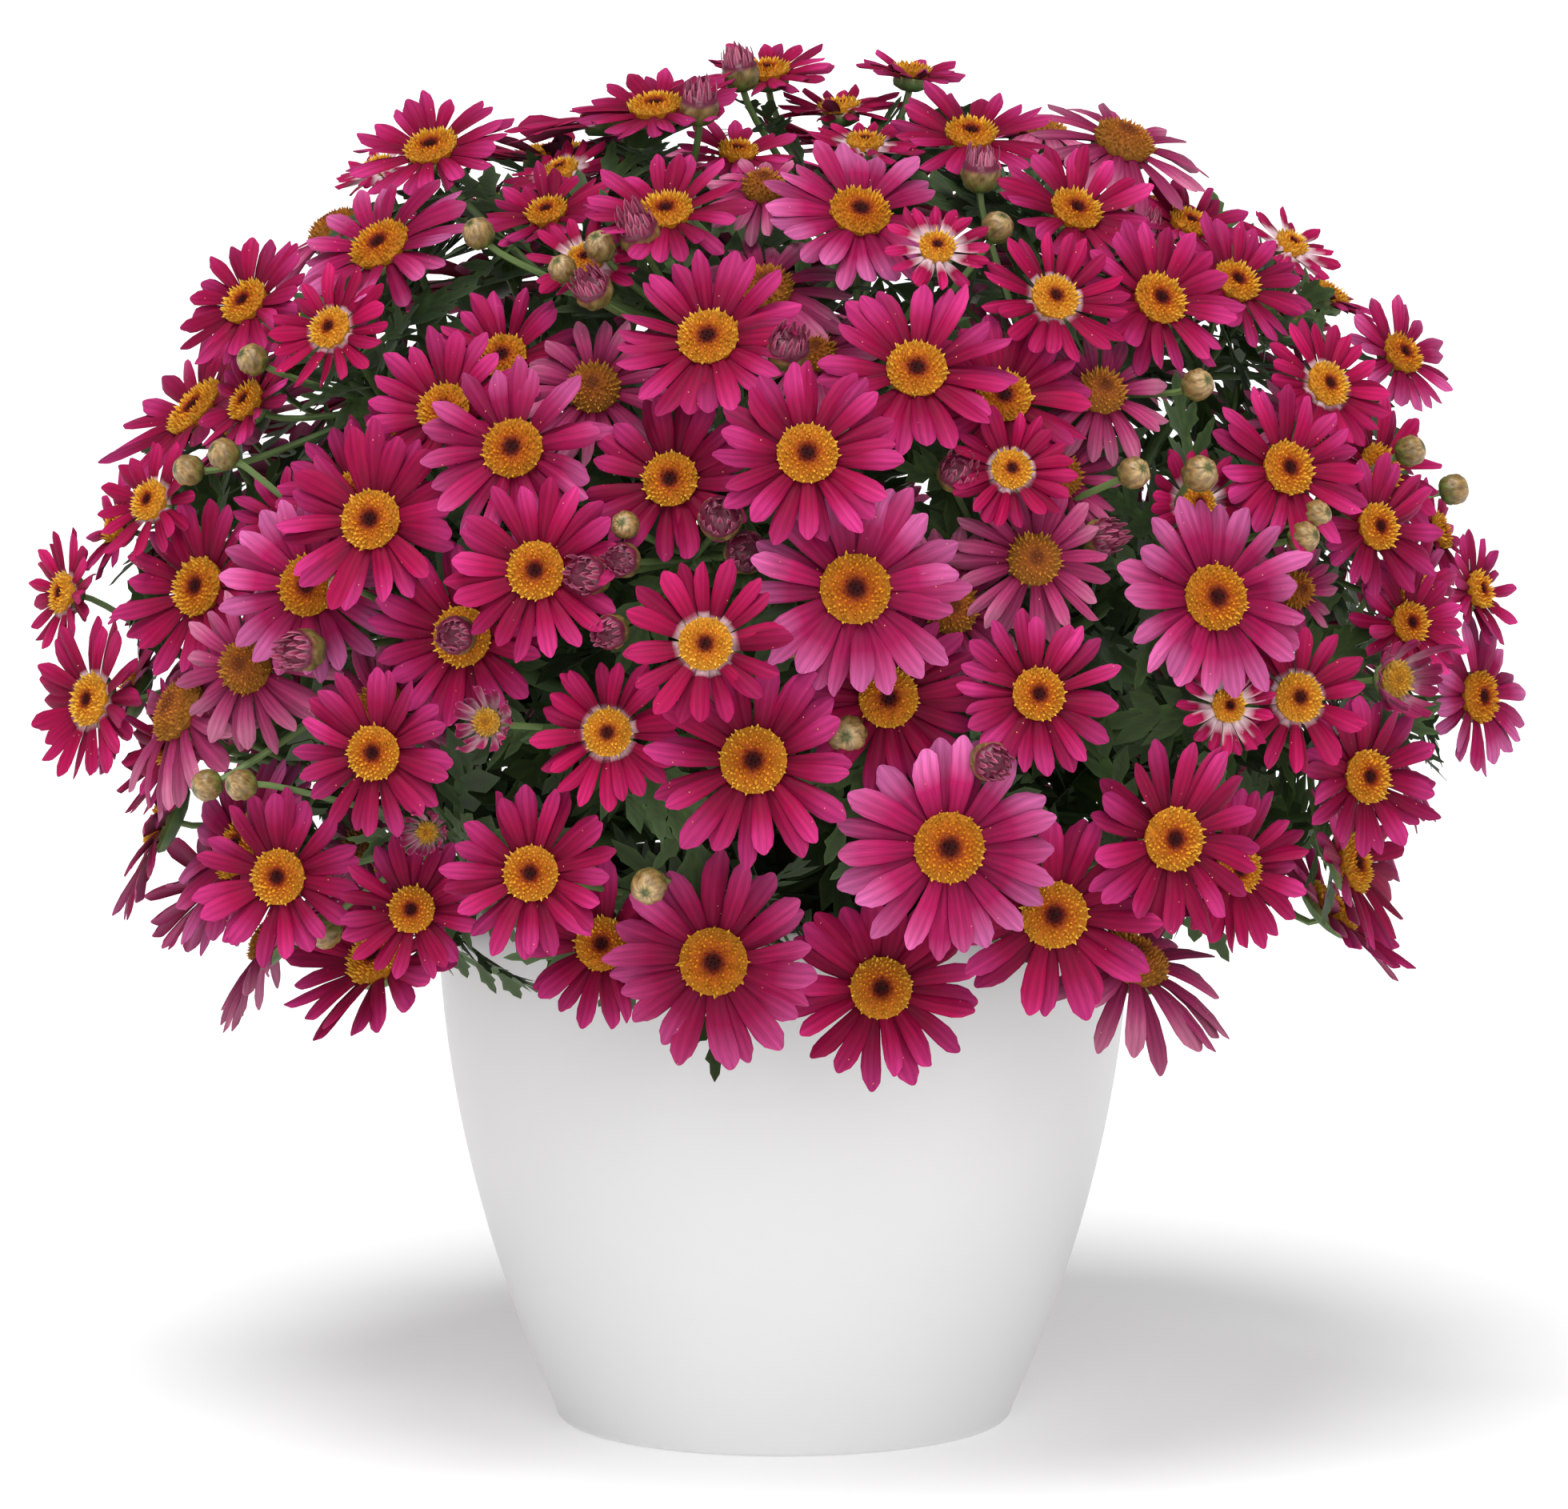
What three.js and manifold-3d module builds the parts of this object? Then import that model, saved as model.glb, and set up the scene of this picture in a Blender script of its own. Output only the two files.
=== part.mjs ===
// A marguerite daisy in full flower, in a white planter. Units are millimetres.
// +Z is up, the front faces -Y, and the origin is the centre of the planter's base.
// Ten leafy stems stand in the soil. Each carries several flower sprays, which sit on its branch ends.
// A spray is a fork of thin stalks with a flower head or a bud at each tip.

import * as THREE from "three";
import { mergeVertices } from "three/addons/utils/BufferGeometryUtils.js";
import Module from "manifold-3d";

const wasm = await Module();
wasm.setup();

// ---------------------------------------------------------------- driving dimensions

const POT_HEIGHT = 150;
const POT_RIM_RADIUS = 96.5;
const POT_FOOT_RADIUS = 62.5;
const POT_WALL = 2.6;
const POT_FLOOR = 3.2;
const POT_LIP = 1.6;
const POT_SIDES = 28;
const SOIL_LEVEL = 128;
const SOIL_CROWN = 3;

// The crown of flowers is a dome. Its widest level, its radius there, and how far it rises and falls from it.
const DOME = { level: 205, radius: 186, rise: 163, fall: 80 };

// Seams between solids that touch.
const GAP = 0.3;

// Flower heads: the disc's share of the head's radius, the height of its edge, and how far it domes above that.
const DISC_SHARE = 0.37;
const DISC_HEIGHT = 1.8;
const DISC_DOME = 1.4;
const CALYX_DEPTH = 3.2;
const STALK_RADIUS = 0.95;
const FORK_DEPTH = 36;
const FORK_RADIUS = 3.6;
const STALK_STOP = 1.5;
const FORK_LENGTH = 9;
const FORK_BEHIND = 0.65;

const STEM_RING_RADIUS = 38;
const STEM_RADIUS = 4.2;
const STEM_DEPTH = 24;
const STEM_COLLAR = 8;
const BRANCH_RADIUS = 2.3;
const OUTER_STEMS = 9;
const SPRAYS = 46;

const LEAF_LENGTH = 50;
const LEAF_THICKNESS = 1.3;
const LEAF_ARCH = 0.16;
const LEAF_ROOM = 3;
const LEAF_TRIES = 40;
const LEAVES_PER_BRANCH = 1;
// Leaves root along this stretch of a branch, and this much is drawn at random in their heading and tilt.
const LEAF_FROM = 0.3;
const LEAF_SPAN = 0.65;
const LEAF_SPREAD = 0.9;
const LEAF_TILT = 0.35;
const POT_ROOM = 4;

// ---------------------------------------------------------------- where the front heads stand

// Each row is [across, up, width, layer, age, facing]: how far right of the axis and above the base the head
// lines up from the sight point, its full width as it lines up there, its layer (0 proud, 1 tucked, 2 deep), its
// age (y young, m full, p paling, o old, h half open, w wilted), and how far it turns towards the sight point (if
// left out, TURN low down and less by TURN_FALL at the top).
const SIGHT = { eye: [0, -2600, 500], aim: [0, 0, 186], aimUp: 183 };
const SIGHT_SPAN = 260;
const SIGHT_STEP = 2;
const MOST_PROUD = 14;
const TURN = 0.65;
const TURN_FALL = 0.4;
const TURN_FROM = 240;
const TURN_SPAN = 140;
const FRONT_HEADS = [
  [-35, 362, 42, 0, "m"], [-96, 351, 42, 0, "m", 0.5], [-64, 352, 28, 1, "y", 0.2], [-114, 344, 24, 1, "y", 0.3],
  [51, 355, 40, 0, "m"], [15, 362, 31, 1, "y"], [23, 353, 29, 2, "y"], [37, 371, 28, 1, "m", 0.2],
  [-4, 370, 33, 1, "m", 0.3], [92, 352, 48, 0, "o"], [79, 334, 41, 0, "m"], [21, 333, 48, 0, "p"],
  [-6, 339, 33, 1, "o"], [-32, 332, 42, 0, "m", 0.2], [-55, 325, 29, 0, "y"], [-68, 332, 33, 2, "m"],
  [-109, 324, 48, 0, "p", 0.4], [-144, 307, 39, 0, "m"], [-121, 295, 34, 0, "y"], [-84, 299, 39, 1, "m"],
  [-57, 286, 42, 2, "o"], [-20, 297, 48, 0, "m", 0.4], [-2, 315, 44, 2, "o"], [39, 319, 28, 0, "y"],
  [72, 308, 38, 0, "y", 0.5], [101, 309, 43, 0, "m"], [115, 331, 33, 1, "m", 0.3], [126, 312, 38, 1, "m"],
  [137, 324, 26, 0, "y", 0.3], [155, 310, 27, 1, "m", 0.1], [167, 294, 34, 0, "p", 0.5], [148, 285, 36, 0, "y", 0.6],
  [37, 289, 48, 0, "m"], [58, 282, 44, 1, "m"], [90, 283, 38, 1, "o"], [9, 303, 33, 2, "o"],
  [-97, 279, 43, 1, "m"], [-122, 283, 29, 2, "m"], [-151, 280, 33, 1, "m", 0.0], [-73, 268, 48, 0, "p"],
  [-32, 262, 44, 0, "m"], [6, 264, 48, 0, "m"], [-127, 264, 42, 1, "m"], [-111, 248, 48, 0, "m"],
  [-171, 251, 33, 0, "y"], [-170, 237, 47, 1, "m"], [-194, 230, 32, 0, "y"], [-133, 231, 49, 1, "p"],
  [-65, 234, 46, 0, "m"], [-92, 214, 48, 1, "m"], [-153, 207, 44, 1, "o"], [-185, 198, 41, 0, "y"],
  [-109, 180, 43, 0, "m"], [-122, 190, 42, 2, "o"], [-49, 189, 38, 0, "y"], [-20, 214, 42, 0, "y"],
  [21, 229, 56, 0, "p"], [43, 225, 44, 2, "o"], [68, 235, 42, 1, "o"], [61, 262, 32, 0, "y"],
  [82, 260, 36, 2, "o"], [134, 261, 43, 0, "m"], [124, 247, 29, 1, "y"], [117, 227, 52, 0, "p"],
  [159, 246, 37, 0, "m"], [168, 264, 38, 1, "m"], [190, 239, 29, 1, "m", 0.2], [178, 227, 38, 1, "p", 0.3],
  [167, 219, 33, 0, "m"], [151, 228, 29, 2, "o"], [68, 200, 42, 0, "m"], [30, 198, 48, 1, "m"],
  [-8, 182, 53, 0, "m"], [119, 200, 27, 0, "y"], [137, 199, 39, 0, "y"], [161, 205, 29, 0, "h"],
  [188, 199, 40, 0, "p"], [157, 177, 42, 0, "m"], [103, 161, 50, 0, "m"], [44, 158, 56, 0, "p"],
  [73, 139, 53, 0, "m"], [26, 120, 49, 0, "m"], [-19, 126, 54, 0, "p"], [-50, 125, 43, 0, "m"],
  [-68, 150, 44, 0, "m"], [-100, 143, 37, 0, "m"], [-135, 150, 44, 0, "m"], [-148, 129, 29, 2, "w"],
  [128, 150, 40, 1, "m"], [-180, 184, 34, 1, "m", 0.2], [-102, 162, 17, 0, "h"], [-79, 193, 22, 0, "h"],
  [-146, 245, 33, 2, "m"], [153, 276, 33, 2, "o"],
  [-198, 243, 30, 1, "m", 0.3], [196, 236, 30, 1, "m", 0.3], [-14, 350, 30, 2, "m"],
];
// Each row is [across, up, width, pink]: pink is 1 where petals already show at the tip.
const FRONT_BUDS = [
  [-82, 322, 8, 0], [-59, 312, 7, 0], [-49, 318, 8, 0], [-51, 307, 10, 1], [-142, 289, 8, 0], [-149, 264, 8, 0],
  [-159, 260, 8, 0], [-117, 229, 8, 0], [-128, 212, 11, 1], [-87, 216, 10, 1], [-52, 232, 11, 1], [-154, 176, 8, 0],
  [-145, 176, 8, 0], [-124, 140, 9, 0], [-36, 151, 9, 0], [18, 188, 10, 0], [93, 259, 8, 0], [111, 259, 9, 0],
  [94, 245, 10, 1], [48, 261, 10, 1], [110, 282, 8, 0], [132, 298, 9, 0], [142, 248, 8, 0], [138, 242, 8, 0],
  [167, 265, 8, 0], [179, 255, 8, 0], [53, 338, 10, 1], [57, 323, 8, 0], [-23, 356, 10, 1], [-12, 365, 10, 1],
  [1, 291, 11, 1], [-17, 247, 11, 1], [-11, 240, 11, 1], [-42, 245, 7, 0], [-43, 236, 9, 1], [-46, 217, 9, 1],
  [55, 182, 10, 1], [105, 337, 10, 1], [2, 214, 8, 0], [-39, 322, 11, 1],
];

// ---------------------------------------------------------------- small vector and random helpers

const add = (a, b, k = 1) => [a[0] + b[0] * k, a[1] + b[1] * k, a[2] + b[2] * k];
const sub = (a, b) => add(a, b, -1);
const dot = (a, b) => a[0] * b[0] + a[1] * b[1] + a[2] * b[2];
const cross = (a, b) => [a[1] * b[2] - a[2] * b[1], a[2] * b[0] - a[0] * b[2], a[0] * b[1] - a[1] * b[0]];
const size = (a) => Math.sqrt(dot(a, a));
const unit = (a) => add([0, 0, 0], a, 1 / size(a));

// A 32-bit congruential generator, so that every draw is the same on each run.
function seeded(seed) {
  let state = seed >>> 0;
  return () => {
    state = (Math.imul(state, 1664525) + 1013904223) >>> 0;
    return state / 4294967296;
  };
}

// A vector with each part drawn evenly from -reach to reach.
const drawVector = (random, reach) => [0, 1, 2].map(() => (random() * 2 - 1) * reach);

// ---------------------------------------------------------------- the dome

const domePower = (x) => x * x * Math.sqrt(x);
const domeReach = (z) => (z > DOME.level ? DOME.rise : DOME.fall);

// Below zero inside the dome and above it outside: a superellipsoid of power 2.5.
function domeValue(p) {
  const radial = Math.sqrt(p[0] * p[0] + p[1] * p[1]) / DOME.radius;
  const upright = Math.abs(p[2] - DOME.level) / domeReach(p[2]);
  return domePower(radial) + domePower(upright) - 1;
}

// The dome's outward normal: the gradient of domeValue.
function domeNormal(p) {
  const across = Math.max(1e-6, Math.sqrt(p[0] * p[0] + p[1] * p[1]));
  const radial = across / DOME.radius;
  const upright = Math.abs(p[2] - DOME.level) / domeReach(p[2]);
  const outward = (radial * Math.sqrt(radial)) / DOME.radius / across;
  const upward = ((upright * Math.sqrt(upright)) / domeReach(p[2])) * (p[2] > DOME.level ? 1 : -1);
  return unit([p[0] * outward, p[1] * outward, upward]);
}

// Slides a point along the ray from the dome's middle until it lies on the dome.
function ontoDome(p) {
  const middle = [0, 0, DOME.level];
  const ray = sub(p, middle);
  let low = 0;
  let high = 4;
  for (let i = 0; i < 40; i++) {
    const half = (low + high) / 2;
    if (domeValue(add(middle, ray, half)) < 0) low = half;
    else high = half;
  }
  return add(middle, ray, low);
}

// Where the line from the sight point through (across, up) first meets the dome, or passes nearest to it,
// and how far outside the dome it then passes.
function seenOnDome(across, up) {
  const forward = unit(sub(SIGHT.aim, SIGHT.eye));
  const rise = cross([1, 0, 0], forward);
  const through = add(add(SIGHT.aim, [across, 0, 0]), rise, up - SIGHT.aimUp);
  const ray = unit(sub(through, SIGHT.eye));
  let nearest = add(through, ray, -SIGHT_SPAN);
  for (let t = -SIGHT_SPAN; t < SIGHT_SPAN; t += SIGHT_STEP) {
    const p = add(through, ray, t);
    if (domeValue(p) < domeValue(nearest)) nearest = p;
    if (domeValue(p) < 0) break;
  }
  const place = ontoDome(nearest);
  const proud = domeValue(nearest) > 0.001 ? Math.min(MOST_PROUD, size(sub(nearest, place))) : 0;
  return { place, proud };
}

// ---------------------------------------------------------------- placing the heads

const SPIRAL_STEPS = 150;
const SPIRAL_LOWEST = -0.42;
const GOLDEN_ANGLE = 2.399963;
const BACK_GAP = 15;
const BACK_JITTER = 5;
const BACK_WIDTH = { least: 44, range: 14 };
const FACE_CLEARANCE = 3.6;
const RIM_MARGIN = 1.5;
const NEAR_MARGIN = 12;
const DEEPEST = 34;
const MOST_RAISED = 12;
const LIFT_JITTER = 1.5;
const CROWN_SINK = 8;
const LAYER_LIFT = [5, -4, -11];
const LAYER_EASE = [0.3, 1, 1.5];
const BACK_AGES = ["m", "p", "m", "m", "o", "y", "m", "p", "y", "m", "o", "m"];

// Heads that fill the rest of the dome, on a golden-angle spiral, wherever no front head stands.
function backHeads(front, random) {
  const heads = [];
  for (let k = 0; k < SPIRAL_STEPS; k++) {
    const c = 1 - ((k + 0.5) / SPIRAL_STEPS) * (1 - SPIRAL_LOWEST);
    const s = Math.sqrt(1 - c * c);
    const turn = k * GOLDEN_ANGLE;
    const place = ontoDome([s * Math.cos(turn) * 100, s * Math.sin(turn) * 100, DOME.level + c * 100]);
    const jittered = ontoDome(add(place, drawVector(random, BACK_JITTER)));
    const width = BACK_WIDTH.least + random() * BACK_WIDTH.range;
    const layer = Math.floor(random() * 3);
    const age = BACK_AGES[Math.floor(random() * BACK_AGES.length)];
    const taken = front.some((h) => size(sub(h.place, jittered)) < h.radius + BACK_GAP);
    const head = { place: jittered, proud: 0, radius: width / 2, layer, age, ease: 1, turn: 0, back: true };
    if (!taken) heads.push(head);
  }
  return heads;
}

// Pushes heads apart along the dome until each stalk can pass beside the next head.
const SPREAD_ROUNDS = 60;
const STALK_PASSAGE = 3.5;

function spreadHeads(heads) {
  for (let round = 0; round < SPREAD_ROUNDS; round++) {
    for (let i = 0; i < heads.length; i++) {
      for (let j = i + 1; j < heads.length; j++) {
        const apart = sub(heads[j].place, heads[i].place);
        const distance = Math.max(0.5, size(apart));
        const wanted = Math.max(heads[i].radius, heads[j].radius) + STALK_PASSAGE;
        if (distance < wanted) {
          const share = heads[i].ease / (heads[i].ease + heads[j].ease);
          const push = (0.5 * (wanted - distance)) / distance;
          heads[i].place = add(heads[i].place, apart, -push * share);
          heads[j].place = add(heads[j].place, apart, push * (1 - share));
        }
      }
    }
    for (const head of heads) head.place = ontoDome(head.place);
  }
}

// How far the petal tips stand above the disc's foot, as a share of the head's radius, by age.
const CUP = { y: 0.14, m: 0.1, p: 0.02, o: -0.14, h: 0.7, w: -0.45 };

// Points on the head's face: a ring through its petal tips and a ring half way in, as [share of radius, count].
const FACE_RINGS = [[1, 16], [0.55, 8]];

function facePoints(head) {
  const points = [head.centre];
  for (const [share, count] of FACE_RINGS) {
    const lifted = add(head.centre, head.normal, CUP[head.age] * head.radius * share * share);
    for (let k = 0; k < count; k++) {
      const angle = (k / count) * 2 * Math.PI;
      const along = add([0, 0, 0], head.side, head.radius * share * Math.cos(angle));
      points.push(add(lifted, add(along, head.other, head.radius * share * Math.sin(angle))));
    }
  }
  return points;
}

// True where head a's face comes within the clearance of head b's, or passes through it.
function crosses(a, b) {
  let lowest = 1e9;
  let highest = -1e9;
  for (const point of a.points) {
    const offset = sub(point, b.centre);
    const height = dot(offset, b.normal);
    const across = Math.sqrt(Math.max(0, dot(offset, offset) - height * height));
    if (across < b.radius + RIM_MARGIN) {
      lowest = Math.min(lowest, height);
      highest = Math.max(highest, height);
    }
  }
  return lowest < FACE_CLEARANCE && highest > -FACE_CLEARANCE;
}

// Gives a head its centre, its normal and two directions in its face.
function settleHead(head, depth) {
  head.centre = add(head.place, domeNormal(head.place), head.lift - depth);
  head.side = unit(cross(head.normal, Math.abs(head.normal[2]) < 0.8 ? [0, 0, 1] : [0, 1, 0]));
  head.other = cross(head.normal, head.side);
  head.points = facePoints(head);
}

// Lets each head sink until its face is clear of those before it, proud ones first and large before small; a
// proud front head may rise clear instead where that is the shorter way.
function layerHeads(heads) {
  const settled = [];
  const order = (a, b) => a.layer - b.layer || b.radius - a.radius || a.index - b.index;
  for (const head of [...heads].sort(order)) {
    let depth = 0;
    settleHead(head, depth);
    const near = settled.filter((s) => size(sub(s.centre, head.centre)) < s.radius + head.radius + NEAR_MARGIN);
    const isBlocked = () => near.some((s) => crosses(head, s) || crosses(s, head));
    const highest = head.layer === 0 && !head.back ? MOST_RAISED : 0;
    for (let step = 1; step <= DEEPEST && isBlocked(); step++) {
      depth = step;
      settleHead(head, depth);
      if (step <= highest && isBlocked()) {
        depth = -step;
        settleHead(head, depth);
      }
    }
    head.depth = depth;
    settled.push(head);
  }
}

// The way a head faces: out of the dome, raised a little, and turned towards the sight point or up to the light.
const LEAST_RISE = -0.1;
const RAISED = 0.16;
const TO_LIGHT = [0, 0, 0.3];
const FACING_JITTER = { front: 0.14, back: 0.2 };

function facing(head, random) {
  const outward = domeNormal(head.place);
  const lifted = [outward[0], outward[1], Math.max(outward[2], LEAST_RISE) + RAISED];
  const towards = head.back ? TO_LIGHT : add([0, 0, 0], unit(sub(SIGHT.eye, head.place)), head.turn);
  const jitter = drawVector(random, head.back ? FACING_JITTER.back : FACING_JITTER.front);
  return unit(add(add(lifted, towards), jitter));
}

// Where a front head stands on the dome so that, lifted off it by its layer, it still lines up with its place.
function standsFor(across, up, layer) {
  const outward = domeNormal(seenOnDome(across, up).place);
  return seenOnDome(across, up - LAYER_LIFT[layer] * outward[2]);
}

const turnAt = (up) => TURN - TURN_FALL * Math.max(0, (up - TURN_FROM) / TURN_SPAN);

// How far a head stands off the dome; those behind sink a little where the dome levels off.
function liftOf(head, random) {
  const upright = head.back ? Math.max(0, domeNormal(head.place)[2]) : 0;
  const jitter = (random() * 2 - 1) * LIFT_JITTER;
  return LAYER_LIFT[head.layer] + head.proud + jitter - CROWN_SINK * upright * upright;
}

function placeHeads() {
  const random = seeded(7);
  const sightLength = size(sub(SIGHT.eye, SIGHT.aim));
  const front = FRONT_HEADS.map(([across, up, width, layer, age, turn = turnAt(up)]) => {
    const { place, proud } = standsFor(across, up, layer);
    const radius = (width / 2) * (size(sub(SIGHT.eye, place)) / sightLength);
    return { place, proud, radius, layer, age, turn, ease: LAYER_EASE[layer], back: false };
  });
  const heads = [...front, ...backHeads(front, random)];
  spreadHeads(heads);
  heads.forEach((head, index) => {
    head.index = index;
    head.normal = facing(head, random);
    head.lift = liftOf(head, random);
    head.spin = random() * 2 * Math.PI;
  });
  layerHeads(heads);
  return heads;
}

// ---------------------------------------------------------------- sprays: heads and buds that share a fork

const HEART = [0, 0, 172];
const LOWEST_FORK = 159;
const BUD_LIFTS = [7, 3, -1, -6, -12];
const BUD_STEP = 2;
const BUD_ROOM = 2.6;

// Spray centres start at every few heads and move to the middle of the heads nearest to them.
function groupHeads(heads) {
  const share = heads.length / SPRAYS;
  let middles = Array.from({ length: SPRAYS }, (_, k) => heads[Math.floor((k + 0.5) * share)].centre);
  let groups = [];
  for (let round = 0; round < 8; round++) {
    groups = middles.map(() => []);
    for (const head of heads) {
      const distances = middles.map((m) => size(sub(m, head.centre)));
      groups[distances.indexOf(Math.min(...distances))].push(head);
    }
    middles = groups.map((group, k) => (group.length ? middleOf(group) : middles[k]));
  }
  return groups.filter((group) => group.length);
}

function middleOf(group) {
  const total = group.reduce((sum, head) => add(sum, head.centre), [0, 0, 0]);
  return add([0, 0, 0], total, 1 / group.length);
}

// The fork lies under the middle of its heads, towards the heart of the plant and above the pot's rim.
function forkOf(group) {
  const middle = middleOf(group);
  const inward = unit(sub(HEART, middle));
  const fork = add(middle, inward, FORK_DEPTH);
  return [fork[0], fork[1], Math.max(fork[2], LOWEST_FORK)];
}

// The least distance from a point to a straight piece between two ends.
function distanceToPiece(p, from, to) {
  const along = sub(to, from);
  const share = Math.min(1, Math.max(0, dot(sub(p, from), along) / dot(along, along)));
  return size(sub(p, add(from, along, share)));
}

// True where a bud or its stalk comes near another spray's flowers.
function budMeets(bud, fork, others) {
  const steps = Math.ceil(size(sub(fork, bud.centre)) / BUD_STEP);
  for (let k = 0; k <= steps; k++) {
    const p = add(bud.centre, sub(fork, bud.centre), k / steps);
    const room = k * BUD_STEP < bud.radius ? bud.radius + BUD_ROOM : BUD_ROOM;
    for (const other of others) {
      for (const head of other.heads) {
        const offset = sub(p, head.centre);
        const height = dot(offset, head.normal);
        const across = Math.sqrt(Math.max(0, dot(offset, offset) - height * height));
        if (Math.abs(height) < room + 1 && across < head.radius + room - 1) return true;
        if (distanceToPiece(p, head.centre, other.fork) < room) return true;
      }
      if (other.buds.some((next) => distanceToPiece(p, next.centre, other.fork) < room)) return true;
      if (other.buds.some((next) => size(sub(p, next.centre)) < room + next.radius)) return true;
    }
  }
  return false;
}

// Each bud joins the spray of the nearest head, as proud of the dome as it can stand clear of other sprays.
function placeBuds(sprays) {
  for (const [across, up, width, pink] of FRONT_BUDS) {
    const { place } = seenOnDome(across, up);
    const nearness = (spray) => Math.min(...spray.heads.map((head) => size(sub(head.centre, place))));
    const nearest = sprays.reduce((best, spray) => (nearness(spray) < nearness(best) ? spray : best));
    const others = sprays.filter((spray) => spray !== nearest);
    for (const proud of BUD_LIFTS) {
      const centre = add(place, domeNormal(place), proud);
      const bud = { centre, radius: width / 2, pink };
      if (!budMeets(bud, nearest.fork, others)) {
        nearest.buds.push(bud);
        break;
      }
    }
  }
}

// ---------------------------------------------------------------- leafy stems: where they stand and what they carry

// Each outer stem serves the forks in its own wedge; the middle stem serves those near the axis.
const MIDDLE_REACH = 62;
const CROTCH_RADIUS = 56;
const CROTCH_LEVEL = 160;
const LEADER_RADIUS = 84;
const LEADER_TOP = 248;
const BRANCH_LOW = 160;
const BRANCH_HIGH = 300;
const WEDGE = (2 * Math.PI) / OUTER_STEMS;

function stemServing(fork) {
  const radius = Math.sqrt(fork[0] * fork[0] + fork[1] * fork[1]);
  if (radius < MIDDLE_REACH) return OUTER_STEMS;
  return Math.round((Math.atan2(fork[1], fork[0]) + 2 * Math.PI) / WEDGE) % OUTER_STEMS;
}

function planStem(index) {
  const angle = index * WEDGE;
  const out = index === OUTER_STEMS ? [0, 0, 0] : [Math.cos(angle), Math.sin(angle), 0];
  const level = index === OUTER_STEMS ? CROTCH_LEVEL + 12 : CROTCH_LEVEL;
  const foot = add([0, 0, SOIL_LEVEL], out, STEM_RING_RADIUS);
  const top = add([0, 0, LEADER_TOP], out, LEADER_RADIUS);
  return { foot, crotch: add([0, 0, level], out, CROTCH_RADIUS), top, sprays: [], leaves: [] };
}

// A spray's branch leaves the stem's leader at a height that goes with the height of the fork.
function branchStart(stem, fork) {
  const share = Math.min(1, Math.max(0, (fork[2] - BRANCH_LOW) / (BRANCH_HIGH - BRANCH_LOW)));
  return add(stem.crotch, sub(stem.top, stem.crotch), share);
}

// The middle line of a leaf: straight out from its root, and arching down towards its tip.
function leafPoint(leaf, along, across, height = 0) {
  const reach = add(leaf.root, leaf.heading, along * leaf.length);
  const arched = add(reach, leaf.up, height - LEAF_ARCH * along * along * leaf.length);
  return add(arched, leaf.side, across * leaf.length);
}

// Points spread over a leaf, to test it against its neighbours.
function leafSamples(leaf) {
  const points = [];
  for (let along = 0.25; along < 1.05; along += 0.125) {
    const half = along < 0.4 ? 0.1 : 0.3;
    for (const across of [-1, -0.5, 0, 0.5, 1]) points.push(leafPoint(leaf, along, across * half));
  }
  return points;
}

// True where a point is in the pot's wall or rim, or in the soil, with some room.
function nearPot(p) {
  const radius = Math.sqrt(p[0] * p[0] + p[1] * p[1]);
  if (p[2] > POT_HEIGHT + POT_ROOM || radius > POT_RIM_RADIUS + POT_ROOM) return false;
  return radius > POT_RIM_RADIUS - POT_WALL - POT_ROOM || p[2] < SOIL_LEVEL + 2 * POT_ROOM;
}

function leafIsClear(leaf, pieces, heads, leaves) {
  const reach = leaf.length;
  const near = pieces.filter(([from, to]) => distanceToPiece(leaf.root, from, to) < reach && leaf.from !== from);
  const flowers = heads.filter((head) => size(sub(head.centre, leaf.root)) < reach + head.radius + 6);
  const others = leaves.filter((other) => size(sub(other.root, leaf.root)) < reach + other.length);
  for (const p of leaf.points) {
    if (nearPot(p)) return false;
    if (near.some(([from, to]) => distanceToPiece(p, from, to) < LEAF_ROOM + 1)) return false;
    for (const head of flowers) {
      const offset = sub(p, head.centre);
      const height = dot(offset, head.normal);
      const across = Math.sqrt(Math.max(0, dot(offset, offset) - height * height));
      if (Math.abs(height) < LEAF_ROOM + 1.5 && across < head.radius + 2) return false;
    }
    if (others.some((other) => other.points.some((q) => size(sub(p, q)) < LEAF_ROOM + 0.4))) return false;
  }
  return true;
}

// Grows leaves from each branch, trying seeded headings until the wanted number stand clear of everything.
function growLeaves(plant) {
  const random = seeded(23);
  const pieces = [];
  for (const stem of plant.stems) {
    pieces.push([stem.foot, stem.crotch], [stem.crotch, stem.top]);
    for (const spray of stem.sprays) pieces.push([spray.start, spray.seat], [spray.seat, spray.fork]);
  }
  for (const spray of plant.sprays) {
    for (const flower of [...spray.heads, ...spray.buds]) pieces.push([flower.centre, spray.fork]);
  }
  const leaves = [];
  for (const stem of plant.stems) {
    for (const spray of stem.sprays) {
      let grown = 0;
      for (let attempt = 0; attempt < LEAF_TRIES && grown < LEAVES_PER_BRANCH; attempt++) {
        const root = add(spray.start, sub(spray.seat, spray.start), LEAF_FROM + random() * LEAF_SPAN);
        const along = add(domeNormal(root), spray.axis, 0.3);
        const heading = unit(add(along, drawVector(random, LEAF_SPREAD)));
        const upright = add([0, 0, 0.7], domeNormal(root), 0.6);
        const side = unit(cross(heading, add(upright, drawVector(random, LEAF_TILT))));
        const length = LEAF_LENGTH * (0.84 + random() * 0.3);
        const leaf = { root, heading, side, up: cross(side, heading), length, from: spray.start };
        leaf.points = leafSamples(leaf);
        if (leafIsClear(leaf, pieces, plant.heads, leaves)) {
          stem.leaves.push(leaf);
          leaves.push(leaf);
          grown += 1;
        }
      }
    }
  }
}

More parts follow.
